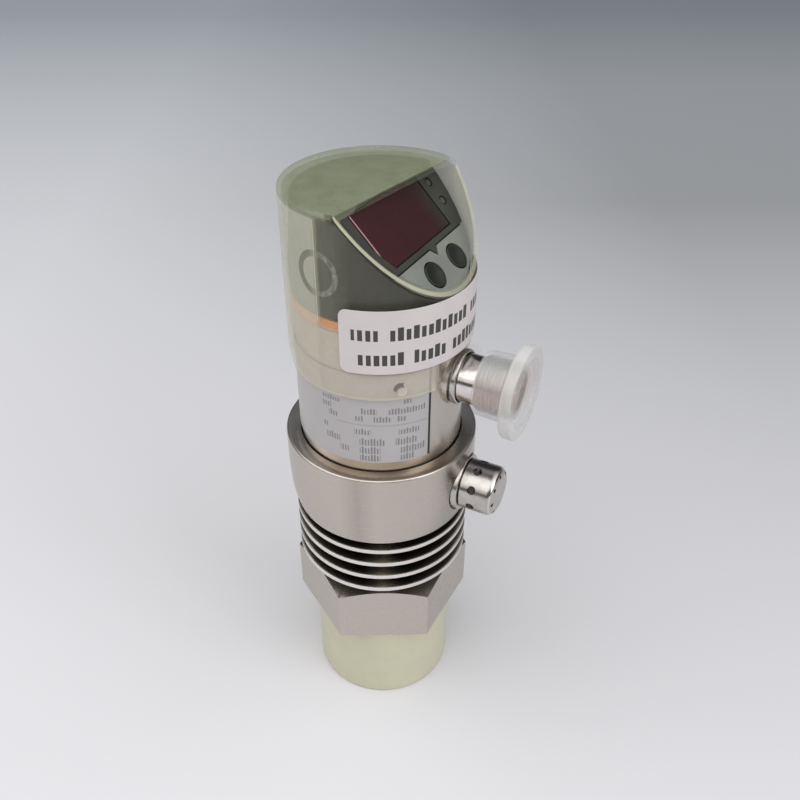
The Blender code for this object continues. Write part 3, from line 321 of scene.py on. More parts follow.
class Finish:
    """The nodes of a new material, or of the world, round its one shader."""

    def __init__(self, name, world=None):
        self.material = world or bpy.data.materials.new(name)
        self.material.use_nodes = True
        self.tree = self.material.node_tree
        self.shader = self.tree.nodes["Background" if world else "Principled BSDF"]
        self._point = None

    def node(self, kind, settings=None, values=None, output=0):
        """Adds a node, applies its settings and fills its sockets by name, index or order."""
        node = self.tree.nodes.new(kind)
        for key, value in (settings or {}).items():
            if key == "stops":
                ramp = node.color_ramp
                while len(ramp.elements) < len(value):
                    ramp.elements.new(0.5)
                for element, (position, color) in zip(ramp.elements, value):
                    element.position = position
                    element.color = (*color, 1.0)
            else:
                setattr(node, key, value)
        pairs = values.items() if isinstance(values, dict) else enumerate(values or ())
        for key, value in pairs:
            self.put(node.inputs[key], value)
        return Socket(self, node.outputs[output])

    def put(self, socket, value):
        if isinstance(value, Socket):
            self.tree.links.new(value.socket, socket)
        elif isinstance(value, tuple) and len(value) == 3 and socket.type == "RGBA":
            socket.default_value = (*value, 1.0)
        else:
            socket.default_value = value

    def set(self, **values):
        """Sets or links the shader's sockets, named with underscores for spaces."""
        for key, value in values.items():
            self.put(self.shader.inputs[key.replace("_", " ")], value)
        return self

    def point(self):
        """Object coordinates, which are the object's own frame in metres, as x, y and z."""
        if self._point is None:
            self._point = self.coordinates("Object")
        return self._point

    def coordinates(self, kind):
        coords = self.node("ShaderNodeTexCoord", None, None, kind)
        split = self.node("ShaderNodeSeparateXYZ", None, [coords]).socket.node
        return [coords] + [Socket(self, out) for out in split.outputs]

    def radius(self):
        _, x, y, _ = self.point()
        return length(x, y)

    def azimuth(self):
        _, x, y, _ = self.point()
        return y.atan2(x)

    def turning(self, turn_scale, ring_scale):
        """Noise that wraps round the object's axis, for the rings that turning leaves."""
        _, _, _, z = self.point()
        rings = [self.azimuth() * turn_scale, self.radius() * ring_scale, z * ring_scale]
        return self.noise(self.node("ShaderNodeCombineXYZ", None, rings), 1.0, 2.0)

    def noise(self, vector, scale, detail=3.0, roughness=0.5):
        values = {"Vector": vector, "Scale": scale, "Detail": detail, "Roughness": roughness}
        return self.node("ShaderNodeTexNoise", None, values, "Fac")

    def remap(self, value, low, high, new_low, new_high):
        values = [value, low, high, new_low, new_high]
        return self.node("ShaderNodeMapRange", {"clamp": True}, values)

    def spread(self, noise, low, high):
        """Stretches the range that a noise mostly keeps to over another."""
        return self.remap(noise, 0.3, 0.7, low, high)

    def patches(self, noise):
        """A noise with more contrast, from 0 to 1."""
        return self.remap(noise, 0.35, 0.65, 0.0, 1.0)

    def ramp(self, value, *stops):
        """A number that follows straight runs between stops of (value, number)."""
        low, high = stops[0][0], stops[-1][0]
        colors = [((at - low) / (high - low), (number,) * 3) for at, number in stops]
        factor = self.remap(value, low, high, 0.0, 1.0)
        return self.node("ShaderNodeValToRGB", {"stops": colors}, [factor])

    def around(self, *stops):
        """A number that changes with the azimuth, between stops of (degrees, number)."""
        return self.ramp(self.azimuth(), *[(math.radians(at), number) for at, number in stops])

    def mix(self, factor, first, second):
        """Mixes two colours."""
        values = {0: factor, 6: first, 7: second}
        return self.node("ShaderNodeMix", {"data_type": "RGBA"}, values, 2)

    def layers(self, base, *layers):
        """Lays colours over a base, each through its own mask."""
        for mask, color in layers:
            base = self.mix(mask, base, color)
        return base

    def bump(self, height, strength, distance):
        values = {"Height": height, "Strength": strength, "Distance": distance}
        self.set(Normal=self.node("ShaderNodeBump", None, values))
        return self

    def band(self, value, middle, width, soft):
        """1 within a band about a value, falling to 0 over a soft edge."""
        distance = (value - middle).abs()
        return self.remap(distance, width / 2.0, width / 2.0 + soft, 1.0, 0.0)

    def print_rows(self, radius, rows, pitch, fill):
        """Rows of small plain blocks, which stand where print would be.

        Each row has its words, as (start, end) in degrees, its middle and its height.
        """
        _, _, _, z = self.point()
        azimuth = self.azimuth()
        cell = azimuth * radius / pitch
        chance = self.node(
            "ShaderNodeTexWhiteNoise", {"noise_dimensions": "1D"}, {"W": cell.floor()}, "Value"
        )
        taller = (chance > 0.62) * 0.22
        wide = (cell.frac() - 0.5).abs() < chance * 0.10 + fill
        blocks = []
        for words, middle, height in rows:
            rise = z - middle
            tall = (rise < (taller + 0.5) * height) * (rise > height * -0.5)
            for start, end in words:
                word = (azimuth > math.radians(start)) * (azimuth < math.radians(end))
                blocks.append(word * tall * wide)
        return reduce(Socket.max, blocks)


def shade(color, factor):
    return tuple(min(1.0, channel * factor) for channel in color)


def steel(name, color, roughness, painted_light=None):
    """Stainless steel with the fine rings that turning leaves and slightly uneven gloss."""
    finish = Finish(name)
    fine = finish.turning(*FINE_RINGS)
    broad = finish.turning(*BROAD_RINGS)
    cloud = finish.noise(finish.point()[0], 110.0, 4.0)
    tone = finish.patches(fine * 0.35 + broad * 0.4 + cloud * 0.25)
    base = finish.mix(tone, shade(color, 0.97), color)
    if painted_light is not None:
        base = painted_light(finish, base)
    gloss = fine * 0.1 + broad * 0.2 + cloud * 0.7
    finish.set(
        Base_Color=base,
        Metallic=1.0,
        Roughness=finish.spread(gloss, roughness * 0.88, roughness * 1.15),
    )
    return finish.bump(fine * 0.5 + broad * 0.5, 0.006, 0.05 * MM).material


def body_painted_light(finish, base):
    """Painted highlights on the fin rims, painted shade in the fin hollows with a painted reflection
    at their front, painted dark reflection bands on the collar's flank, painted shade on the
    hexagon's top, and a painted highlight on the front of the collar's top with painted dark
    reflection round the rest.
    """
    _, _, _, z = finish.point()
    up = finish.coordinates("Normal")[3]
    azimuth = finish.azimuth()
    radius = finish.radius()
    hex_top = HEX_Z + HEX_H
    collar_low = low_z("collar_ring")
    collar_top = high_z("collar_ring")

    # Painted highlight on the fin rims, and painted shade in the hollows between them, deepest at the
    # root
    fins = (z > hex_top + 0.2 * MM) * (z < collar_low + 0.05 * MM)
    hollow_shade_mask = finish.remap(radius, FIN_R - 0.55 * MM, FIN_R - 0.12 * MM, 1.0, 0.0)
    deeper_shade = finish.remap(radius, FIN_ROOT_R, FIN_R - 1.5 * MM, 1.0, 0.0)
    # Painted reflection that lightens the hollows at the front
    front_reflection = finish.band(azimuth, math.radians(-90.0), 0.06, 0.22)
    hollow = finish.mix(deeper_shade, (0.15, 0.14, 0.115), (0.05, 0.045, 0.037))
    hollow = finish.mix(front_reflection * 0.8, hollow, (0.60, 0.56, 0.50))

    # Painted dark reflection bands round the collar's flank
    dark_reflection_bands = finish.around(
        (-180.0, 0.0), (-116.0, 0.0), (-104.5, 0.20), (-94.0, 0.0), (-60.0, 0.02),
        (-36.0, 0.38), (-18.0, 0.02), (20.0, 0.0), (180.0, 0.0),
    )
    flank = (radius > COLLAR_FOOT_R) * (z > collar_low)
    # Painted shade on the hexagon's top
    shoulder = (z < hex_top + 0.1 * MM) * (z > HEX_Z) * (up > 0.3)
    # Painted highlight on the front of the collar's top, painted dark reflection round the rest of it
    crown = (z > collar_top - 0.1 * MM) * (up > 0.9) * (radius > TUBE_R)
    near = finish.band(azimuth, math.radians(-85.0), 1.2, 0.9)
    return finish.layers(
        base,
        # Painted highlight on the fin rims, then painted shade and painted reflection in the hollows
        (fins, (0.80, 0.77, 0.73)),
        (hollow_shade_mask * fins, hollow),
        # Painted dark reflection bands on the collar's flank
        (dark_reflection_bands * flank, (0.03, 0.02, 0.02)),
        # Painted shade on the hexagon's top
        (shoulder * 0.45, (0.05, 0.05, 0.045)),
        # Painted highlight on the front of the collar's top, painted dark reflection elsewhere on it
        (crown, finish.mix(near, (0.97, 0.94, 0.91), (0.40, 0.34, 0.28))),
    )


def polished_finish():
    """Polished steel, duller and smudged on the vent than on the plug's neck."""
    finish = Finish("polished_steel_finish")
    point, _, _, z = finish.point()
    smudge = finish.noise(point, 420.0, 5.0, 0.6)
    neck_r = PORT_STEM_R + 0.15 * MM
    vent = finish.remap(finish.radius(), neck_r, neck_r + 0.1 * MM, 0.0, 1.0)
    vent = vent.max(z > VENT_END - 0.5 * MM)
    dirt = finish.remap(smudge, 0.45, 0.70, 0.0, 0.4)
    finish.set(
        Base_Color=finish.layers(
            (0.72, 0.68, 0.66),
            (vent, (0.52, 0.50, 0.47)),
            (dirt, (0.32, 0.28, 0.24)),
        ),
        Metallic=1.0,
        Roughness=finish.spread(smudge, 0.12, 0.20) + vent * 0.06,
    )
    return finish.bump(finish.turning(*FINE_RINGS) * 0.3 + smudge * 0.7, 0.12, 0.08 * MM).material


def plastic(name, color, roughness, mottled=0.08):
    """Moulded plastic or rubber with a slightly mottled colour and a fine grain."""
    finish = Finish(name)
    point = finish.point()[0]
    cloud = finish.noise(point, 160.0, 5.0)
    light = shade(color, 1.0 + mottled)
    finish.set(
        Base_Color=finish.mix(finish.patches(cloud), shade(color, 1.0 - mottled), light),
        Roughness=finish.spread(cloud, roughness * 0.85, roughness * 1.2),
    )
    return finish.bump(finish.noise(point, 2600.0, 2.0), 0.08, 0.03 * MM).material


def over_cover_cut(finish):
    """Height over the plane of the cover's cut-out."""
    _, x, y, z = finish.point()
    normal = COVER_CUT.col[2].to_3d()
    return x * normal.x + y * normal.y + z * normal.z - normal.dot(COVER_CUT.translation)


def cover_finish():
    """Hazy yellowish moulding, paler on the far side of the parting line."""
    finish = Finish("translucent_cover_finish")
    point, _, _, z = finish.point()
    azimuth = finish.azimuth()
    radius = finish.radius()
    low = low_z("head_cover")
    high = high_z("head_cover")
    roof = high - COVER_TOP_T - COVER_EDGE / 2.0
    outside = radius > COVER_R - 0.3 * MM
    from_cut = over_cover_cut(finish).abs()
    cloud = finish.noise(point, 140.0, 5.0)
    scuff = finish.noise(point, 900.0, 4.0, 0.7)

    def past(middle):
        """Distance round the cover from an azimuth."""
        return (azimuth - middle) * COVER_R

    # Zones, from the roof to the clear wall beside the plug
    top = finish.remap(z, roof, roof + 0.4 * MM, 0.0, 1.0)
    skirt = finish.remap(z, PARTING_LOW_Z - 1.5 * MM, PARTING_LOW_Z + 0.5 * MM, 1.0, 0.0)
    hood = z < PORT_Z + HOOD_R + 1.0 * MM
    port = finish.band(past(PORT_AZ), 0.0, CLEAR_W, 0.8 * MM) * hood
    border = finish.band(past(PORT_AZ).abs(), CLEAR_BORDER, 0.2 * MM, 0.15 * MM) * hood * outside
    foot = finish.band(z, low + 0.3 * MM, 0.7 * MM, 0.4 * MM) * (1.0 - port)
    thin = finish.remap(from_cut, 1.1 * MM, 1.6 * MM, 0.85, 0.0)
    thin = thin * (z > roof - 0.2 * MM) * (z < high - 0.04 * MM)
    haze = finish.around(
        (-180.0, 0.40), (-128.2, 0.38), (-127.0, 0.15), (-105.0, 0.045),
        (-60.0, 0.025), (-20.0, 0.14), (20.0, 0.46), (180.0, 0.46),
    )
    haze = haze.max(top * 0.46).max(skirt * 0.32) * (1.0 - port * 0.88)
    haze = (haze + scuff * 0.08 - 0.04) * (1.0 - thin)

    # The cut-out's rim, which on the left also runs on as a painted highlight along the rounded top
    # edge, the painted shadow of the gate stub, the parting line, and the ring, dark on its left half
    # and pale on its right, with alpha that varies with scuffs
    rim = finish.remap(from_cut, 0.02 * MM, 0.12 * MM, 1.0, 0.0)
    # Left of -108 degrees the rim also runs up the rounded top edge as a painted highlight
    rim = rim * (z < roof).max(azimuth < math.radians(-108.0))
    rim = rim * finish.remap(radius, COVER_R - 0.75 * MM, COVER_R - 0.5 * MM, 0.25, 1.0)
    rim = rim * finish.around((-120.0, 0.85), (-60.0, 0.72), (-38.0, 0.50), (0.0, 0.36), (40.0, 0.42))
    # Painted shadow of the gate stub: a dark crescent round its lower left
    above = z - low - GATE_RISE
    gate = length(past(GATE_AZ), above)
    gate = finish.band(gate, GATE_R + 0.1 * MM, 0.3 * MM, 0.25 * MM)
    gate = gate * (past(GATE_AZ) < above - 0.5 * MM) * (radius > COVER_FOOT_R)
    line = finish.band(past(PARTING_AZ), 0.0, 0.14 * MM, 0.06 * MM)
    line = line * (z > PARTING_LOW_Z) * (z < roof) * outside
    ring = finish.band(length(past(RING_AZ), z - RING_Z), RING_R, RING_W, 0.25 * MM)
    ring = ring * (azimuth < math.radians(-60.0)) * outside
    left = finish.remap(past(RING_AZ), -2.0 * MM, 1.5 * MM, 1.0, 0.0)
    worn = finish.remap(scuff, 0.35, 0.65, 0.15, 0.40)
    speck = finish.remap(scuff, 0.60, 0.70, 0.0, 1.0)
    speck = speck * finish.band(z, RING_Z - 0.7 * MM, 8.0 * MM, 5.0 * MM)
    speck = speck * finish.band(past(PARTING_AZ), 3.5 * MM, 5.0 * MM, 3.0 * MM)

    pale = finish.around(
        (-180.0, 1.0), (-128.2, 1.0), (-127.0, 0.25), (-105.0, 0.0),
        (-60.0, 0.0), (-20.0, 0.3), (20.0, 0.6), (180.0, 0.9),
    )
    hazed = finish.mix(cloud, (0.45, 0.44, 0.32), (0.52, 0.51, 0.38))
    clear = finish.mix(cloud, (0.82, 0.83, 0.67), (0.90, 0.91, 0.75))
    patch = finish.patches(finish.noise(point, 260.0, 3.0))
    finish.set(
        Base_Color=finish.layers(
            hazed,
            (pale, clear),
            (skirt, (0.90, 0.85, 0.71)),
            (top, finish.mix(patch, (0.32, 0.365, 0.23), (0.39, 0.42, 0.30))),
            (foot * 0.5, (0.70, 0.66, 0.48)),
            # The rim, partly a painted highlight on the rounded top edge, the parting line and scuff
            # specks
            (rim.max(line).max(speck * 0.6), (0.62, 0.61, 0.44)),
            (ring * left, (0.20, 0.22, 0.16)),
            (ring * (1.0 - left), (0.66, 0.66, 0.50)),
            # Painted shadow beside the gate stub
            (gate, (0.05, 0.045, 0.035)),
        ),
        Alpha=reduce(Socket.max, [
            haze, rim, line * 0.9, foot * 0.45, ring * worn, speck * 0.3, border * 0.3, gate * 0.55
        ]),
        Roughness=finish.spread(cloud, 0.26, 0.38),
    )
    return finish.bump(ring + scuff * 0.05, 0.35, 0.2 * MM).material


def milky_finish():
    """Milky polyethylene, thin enough to show the thread under it, with the thread's ridges as
    painted shade, a painted pinkish highlight below the top and a painted bluish reflection on the
    lower side.
    """
    finish = Finish("milky_cap_finish")
    point, x, _, z = finish.point()
    radius = finish.radius()
    cloud = finish.noise(point, 200.0, 4.0)
    brim = finish.remap(radius, PORT_CAP_R + 0.3 * MM, PORT_CAP_R + 0.9 * MM, 0.0, 1.0)
    # Painted pinkish highlight below the top and painted bluish reflection on the lower side; local
    # -x points up
    pink_highlight = finish.remap(x, -6.5 * MM, -1.5 * MM, 0.0, 1.0)
    low_reflection = finish.remap(x, 1.0 * MM, 4.5 * MM, 0.0, 1.0)
    # Painted shade of the thread's ridges seen through the cap
    ridge_shade = ((z / RIDGE_SHADE_PITCH).frac() - 0.5).abs() * (1.0 - brim)
    recess = finish.remap(radius, PORT_CAP_RECESS_R - 0.3 * MM, PORT_CAP_RECESS_R, 1.0, 0.0)
    fleck = finish.remap(finish.noise(point, 900.0, 4.0, 0.7), 0.45, 0.6, 0.0, 1.0) * recess
    finish.set(
        Base_Color=finish.layers(
            (0.84, 0.88, 0.87),
            # Painted pinkish highlight, painted bluish reflection and painted ridge shade
            (pink_highlight, (0.90, 0.76, 0.72)),
            (low_reflection, (0.76, 0.80, 0.86)),
            (ridge_shade * 0.4, (0.58, 0.55, 0.54)),
            (brim, finish.mix(cloud, (0.80, 0.79, 0.76), (0.87, 0.86, 0.83))),
            (fleck * 0.35, (0.55, 0.52, 0.44)),
        ),
        Alpha=finish.remap(brim, 0.0, 1.0, 0.26, 0.50),
        Roughness=finish.spread(cloud, 0.28, 0.4),
    )
    return finish.bump(cloud + fleck * 0.5, 0.15, 0.2 * MM).material


def label_finish():
    """Pale foil, black along its right end, with a ruled line and rows of small plain blocks."""
    finish = Finish("type_label_finish")
    point, _, _, z = finish.point()
    azimuth = finish.azimuth()
    cloud = finish.noise(point, 130.0, 4.0)
    rows = (
        ([(-76.0, -70.0)], 95.9, 1.1),
        ([(-131.0, -117.0)], 95.4, 0.9),
        ([(-131.0, -124.0), (-103.0, -93.0), (-86.0, -61.0)], 93.6, 1.2),
        ([(-126.0, -119.0), (-107.0, -102.0), (-95.0, -84.0), (-80.0, -74.0)], 91.7, 1.2),
        ([(-131.0, -127.0), (-108.0, -97.0), (-79.0, -65.0)], 88.3, 1.2),
        ([(-129.0, -118.0), (-104.5, -88.0), (-81.0, -66.0)], 85.7, 1.5),
        ([(-118.0, -112.0), (-104.5, -91.0), (-78.0, -60.5)], 83.5, 1.5),
        ([(-104.5, -91.0), (-78.0, -68.0)], 81.5, 1.4),
    )
    rows = [(words, middle * MM, height * MM) for words, middle, height in rows]
    ink = finish.print_rows(TUBE_R, rows, 0.62 * MM, 0.24)
    near = azimuth < 0.0
    rule = finish.band(z, LABEL_RULE_Z, 0.16 * MM, 0.08 * MM)
    rule = rule * (azimuth > math.radians(-120.0)) * near
    border = (azimuth > LABEL_END - LABEL_DARK_END_W / TUBE_R) * near
    finish.set(
        Base_Color=finish.layers(
            finish.mix(cloud, (0.50, 0.485, 0.49), (0.58, 0.565, 0.57)),
            (ink * 0.62, (0.10, 0.10, 0.12)),
            (rule * 0.35, (0.15, 0.15, 0.17)),
            (border, (0.012, 0.012, 0.014)),
        ),
        Roughness=finish.spread(cloud, 0.3, 0.4),
    )
    return finish.bump(cloud, 0.05, 0.2 * MM).material


def sticker_finish():
    """White paper with two rows of plain dark blocks and faint handling marks."""
    finish = Finish("sticker_finish")
    point = finish.point()[0]
    cloud = finish.noise(point, 170.0, 5.0)
    low = low_z("cover_sticker")
    tall = 2.4 * MM
    rows = (
        ([(-106.5, -91.5), (-86.5, -31.0), (-26.0, 6.0)], low + 8.7 * MM, tall),
        ([(-103.0, -76.5), (-71.0, -50.0), (-45.0, 4.0)], low + 3.2 * MM, tall),
    )
    ink = finish.print_rows(COVER_R, rows, 1.55 * MM, 0.30)
    paper = finish.mix(cloud, (0.73, 0.68, 0.68), (0.83, 0.78, 0.78))
    finish.set(
        Base_Color=finish.mix(ink * 0.95, paper, (0.02, 0.018, 0.018)),
        Roughness=finish.spread(cloud, 0.42, 0.55),
    )
    return finish.bump(finish.noise(point, 3000.0, 2.0), 0.12, 0.03 * MM).material


def window_finish():
    """Dark red filter with a pale glint of light along its left edge."""
    finish = Finish("red_filter_finish")
    point, x, y, _ = finish.point()
    cloud = finish.noise(point, 200.0, 4.0)
    across = y * math.cos(FACE_AZ) - x * math.sin(FACE_AZ)
    tone = finish.remap(across, WINDOW_LEFT, WINDOW_RIGHT, 0.0, 1.0)
    fade = finish.remap(across, WINDOW_RIGHT - 5.0 * MM, WINDOW_RIGHT - 0.5 * MM, 0.0, 1.0)
    edge = finish.band(across, WINDOW_LEFT + 0.45 * MM, 0.22 * MM, 0.12 * MM)
    finish.set(
        Base_Color=finish.layers(
            (0.042, 0.006, 0.008),
            (tone, (0.034, 0.008, 0.009)),
            (fade, (0.030, 0.022, 0.018)),
            (edge * 0.85, (0.55, 0.30, 0.34)),
        ),
        Roughness=finish.spread(cloud, 0.20, 0.30),
    )
    return finish.bump(cloud, 0.03, 0.2 * MM).material


FINISHES = {
    "turned_steel": steel("turned_steel_finish", (0.555, 0.51, 0.46), 0.28, body_painted_light),
    "polished_steel": polished_finish(),
    "translucent_cover": cover_finish(),
    "pale_cap": plastic("pale_cap_finish", (0.72, 0.71, 0.52), 0.42, 0.03),
    "milky_cap": milky_finish(),
    "dark_plastic": plastic("dark_moulding_finish", (0.043, 0.044, 0.035), 0.45, 0.16),
    "grey_panel": plastic("key_panel_finish", (0.215, 0.232, 0.205), 0.45),
    "red_filter": window_finish(),
    "digit_module": plastic("digit_module_finish", (0.10, 0.02, 0.02), 0.3, 0.2),
    "black_rubber": plastic("button_rubber_finish", (0.013, 0.015, 0.011), 0.42, 0.35),
    "orange_rubber": plastic("orange_seal_finish", (0.98, 0.40, 0.15), 0.5),
    "circuit_board": plastic("board_finish", (0.02, 0.12, 0.05), 0.4, 0.15),
    "ceramic": plastic("ceramic_finish", (0.75, 0.74, 0.70), 0.35, 0.03),
    "vent_membrane": plastic("membrane_finish", (0.70, 0.69, 0.66), 0.6, 0.05),
    "switch_plastic": plastic("switch_finish", (0.02, 0.022, 0.02), 0.45),
    "led_body": plastic("led_finish", (0.55, 0.56, 0.50), 0.25),
    "clear_plastic": plastic("light_pipe_finish", (0.065, 0.075, 0.055), 0.25),
    "gold_plate": steel("pin_finish", (0.8, 0.6, 0.25), 0.2),
    "label_foil": label_finish(),
    "sticker_paper": sticker_finish(),
}


def new_piece(name, mesh, place=HERE):
    piece = bpy.data.objects.new(name, mesh)
    bpy.context.scene.collection.objects.link(piece)
    piece.matrix_world = place
    return piece


def mesh_from(name, bm):
    mesh = bpy.data.meshes.new(name)
    bm.to_mesh(mesh)
    bm.free()
    return mesh


def smooth(mesh):
    """Smooth shading, but for the sharp edges."""
    mesh.shade_smooth()
    mesh.set_sharp_from_angle(angle=SHARP)


def turned(name, profile, segments=FINE, place=HERE):
    """Revolves a profile of (radius, height) that runs down its outer side."""
    mesh = bpy.data.meshes.new(name)
    points = [(radius, 0.0, height) for radius, height in profile]
    edges = [(i, i + 1) for i in range(len(points) - 1)]
    if profile[0][0] > 0.0:
        edges.append((len(points) - 1, 0))
    mesh.from_pydata(points, edges, [])
    piece = new_piece(name, mesh, place)
    screw = piece.modifiers.new("Revolve", "SCREW")
    screw.steps = segments
    screw.render_steps = segments
    screw.use_merge_vertices = True
    screw.merge_threshold = 0.000001
    return piece


def arc(center_r, center_z, radius, start, end, steps):
    points = []
    for i in range(steps + 1):
        angle = math.radians(start + (end - start) * i / steps)
        points.append((center_r + radius * math.cos(angle), center_z + radius * math.sin(angle)))
    return points


def rod(name, radius, low, high, segments=MEDIUM, place=HERE):
    return turned(name, [(0.0, high), (radius, high), (radius, low), (0.0, low)], segments, place)


def box_between(name, low, high, place=HERE):
    bm = bmesh.new()
    bmesh.ops.create_cube(bm, size=1.0)
    size = [high[i] - low[i] for i in range(3)]
    middle = [(high[i] + low[i]) / 2.0 for i in range(3)]
    matrix = Matrix.Translation(middle) @ Matrix.Diagonal((*size, 1.0))
    bmesh.ops.transform(bm, matrix=matrix, verts=bm.verts)
    return new_piece(name, mesh_from(name, bm), place)


def prism(name, sides, radius, low, high):
    """An upright prism with a corner on +X."""
    bm = bmesh.new()
    step = 2.0 * math.pi / sides
    corners = [(radius * math.cos(i * step), radius * math.sin(i * step)) for i in range(sides)]
    floor = [bm.verts.new((x, y, low)) for x, y in corners]
    roof = [bm.verts.new((x, y, high)) for x, y in corners]
    bm.faces.new(list(reversed(floor)))
    bm.faces.new(roof)
    for i in range(sides):
        j = (i + 1) % sides
        bm.faces.new((floor[i], floor[j], roof[j], roof[i]))
    return new_piece(name, mesh_from(name, bm))


def boolean(piece, cutter, operation):
    modifier = piece.modifiers.new(operation.title(), "BOOLEAN")
    modifier.solver = "EXACT"
    modifier.operation = operation
    modifier.object = cutter
    return piece


def bake(piece):
    """Makes a piece a plain mesh."""
    bpy.context.view_layer.update()
    depsgraph = bpy.context.evaluated_depsgraph_get()
    mesh = bpy.data.meshes.new_from_object(piece.evaluated_get(depsgraph))
    mesh.name = piece.name
    cutters = [m.object for m in piece.modifiers if m.type == "BOOLEAN"]
    piece.modifiers.clear()
    for cutter in cutters:
        bpy.data.objects.remove(cutter, do_unlink=True)
    piece.data = mesh
    smooth(mesh)
    return piece


def stand_for(node, *pieces, body=HOUSING):
    """Bakes the pieces and lets them stand for a solid, in that solid's finish."""
    slot = SLOTS[node]
    for piece in pieces:
        if piece.modifiers:
            bake(piece)
        piece.data.materials.clear()
        piece.data.materials.append(FINISHES[slot])
        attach(piece, body)
        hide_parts(node)


def dress_nodes():
    for node, slot in SLOTS.items():
        mesh = NODES[node].data
        mesh.materials.clear()
        mesh.materials.append(FINISHES[slot])


def build_foot_cap():
    top = high_z("thread_cap")
    inner = CAP_R - CAP_WALL
    profile = [(0.0, CAP_FLOOR), (inner, CAP_FLOOR)]
    profile += [(inner, top - CAP_LIP), (inner + CAP_LIP, top)]
    profile += [(CAP_R - CAP_LIP, top), (CAP_R, top - CAP_LIP)]
    profile += arc(CAP_R - CAP_EDGE, CAP_EDGE, CAP_EDGE, 0.0, -90.0, 8)
    profile.append((0.0, 0.0))
    stand_for("thread_cap", turned("foot_cap", profile))


def build_process_body():
    hex_top = HEX_Z + HEX_H
    fin_base = hex_top + FIN_CLEARANCE
    boss_top = high_z("process_body")
    boss_low = low_z("collar_ring") + GAP
    spigot_z = low_z("process_body")
    profile = [(0.0, boss_top), (BOSS_R, boss_top), (BOSS_R, boss_low), (FIN_ROOT_R, boss_low)]
    for i in reversed(range(FIN_COUNT)):
        low = fin_base + i * FIN_PITCH
        high = low + FIN_T
        profile.append((FIN_ROOT_R, high))
        profile += arc(FIN_R - FIN_EDGE, high - FIN_EDGE, FIN_EDGE, 90.0, 0.0, 2)
        profile += arc(FIN_R - FIN_EDGE, low + FIN_EDGE, FIN_EDGE, 0.0, -90.0, 2)
        profile.append((FIN_ROOT_R, low))
    profile += [
        (FIN_ROOT_R, hex_top - HEX_CHAMFER_H),
        (SPIGOT_R - UNDERCUT_DEPTH, hex_top - 2.0 * HEX_CHAMFER_H),
        (SPIGOT_R - UNDERCUT_DEPTH, HEX_Z - UNDERCUT_H),
        (SPIGOT_R, HEX_Z - UNDERCUT_H - SPIGOT_CHAMFER),
        (SPIGOT_R, spigot_z + SPIGOT_CHAMFER),
        (SPIGOT_R - SPIGOT_CHAMFER, spigot_z),
        (CHAMBER_R, spigot_z),
        (CHAMBER_R, high_z("sensor_board") + GAP),
        (0.0, high_z("sensor_board") + GAP),
    ]
    turning = turned("finned_body", profile)

    corner_r = HEX_AF / math.sqrt(3.0)
    flat_r = HEX_AF / 2.0
    wide = 2.0 * corner_r - flat_r
    slope = HEX_CHAMFER_H / (corner_r - flat_r)
    cone = [
        (0.0, hex_top + HEX_H),
        (flat_r, hex_top + HEX_H),
        (flat_r, hex_top),
        (wide, hex_top - slope * (wide - flat_r)),
        (wide, HEX_Z - HEX_H),
        (0.0, HEX_Z - HEX_H),
    ]
    hexagon = prism("hexagon", 6, corner_r, HEX_Z, hex_top)
    boolean(hexagon, turned("hexagon_cone", cone), "INTERSECT")
    bevel = hexagon.modifiers.new("Edges", "BEVEL")
    bevel.width = HEX_EDGE
    bevel.segments = 2
    bevel.limit_method = "ANGLE"
    bevel.angle_limit = math.radians(45.0)
    stand_for("process_body", turning, hexagon)


def build_collar():
    low = low_z("collar_ring")
    top = high_z("collar_ring")
    mouth_r = TUBE_R + GAP
    shoulder = top - COLLAR_SHOULDER
    drop = top - low - COLLAR_CHAMFER
    edge = 0.15 * MM
    profile = arc(mouth_r + edge, top - edge, edge, 180.0, 90.0, 2)
    profile += arc(
        COLLAR_R - COLLAR_CHAMFER, top - COLLAR_CHAMFER, COLLAR_CHAMFER, 90.0, 0.0, 5
    )
    for i in range(1, COLLAR_STEPS + 1):
        part = i / COLLAR_STEPS
        radius = COLLAR_R - (COLLAR_R - COLLAR_FOOT_R) * part ** COLLAR_TUCK
        profile.append((radius, top - COLLAR_CHAMFER - drop * part ** COLLAR_SPACING))
    bore_r = BOSS_R + GAP
    profile += [(bore_r, low), (bore_r, shoulder), (mouth_r, shoulder)]
    collar = turned("collar", profile)
    seat = rod("vent_seat", VENT_LIP_R + GAP, VENT_SEAT, FAR, MEDIUM, VENT)
    boolean(collar, seat, "DIFFERENCE")
    boolean(collar, rod("vent_hole", VENT_SPIGOT_R + GAP, 0.0, FAR, SMALL, VENT), "DIFFERENCE")
    stand_for("collar_ring", collar)


def build_tube():
    low = low_z("housing_tube")
    top = high_z("housing_tube")
    tube = rod("housing_tube_fine", TUBE_R, low, top, FINE)
    lip = rod("port_lip", PORT_LIP_R, TUBE_BORE_R - 2.0 * MM, PORT_LIP_END, MEDIUM, PORT)
    boolean(tube, lip, "UNION")
    boolean(tube, rod("tube_bore", TUBE_BORE_R, -FAR, 2.0 * FAR, FINE), "DIFFERENCE")
    hole = rod("port_hole", PORT_STEM_R + GAP, 0.0, FAR, MEDIUM, PORT)
    boolean(tube, hole, "DIFFERENCE")
    stand_for("housing_tube", tube)

    low = low_z("head_seal")
    top = high_z("head_seal")
    soft = 0.35 * MM
    outer = TUBE_R + GAP
    profile = [(TUBE_BORE_R, top)] + arc(outer - soft, top - soft, soft, 90.0, 0.0, 4)
    profile += arc(outer - soft, low + soft, soft, 0.0, -90.0, 4) + [(TUBE_BORE_R, low)]
    stand_for("head_seal", turned("orange_seal", profile))


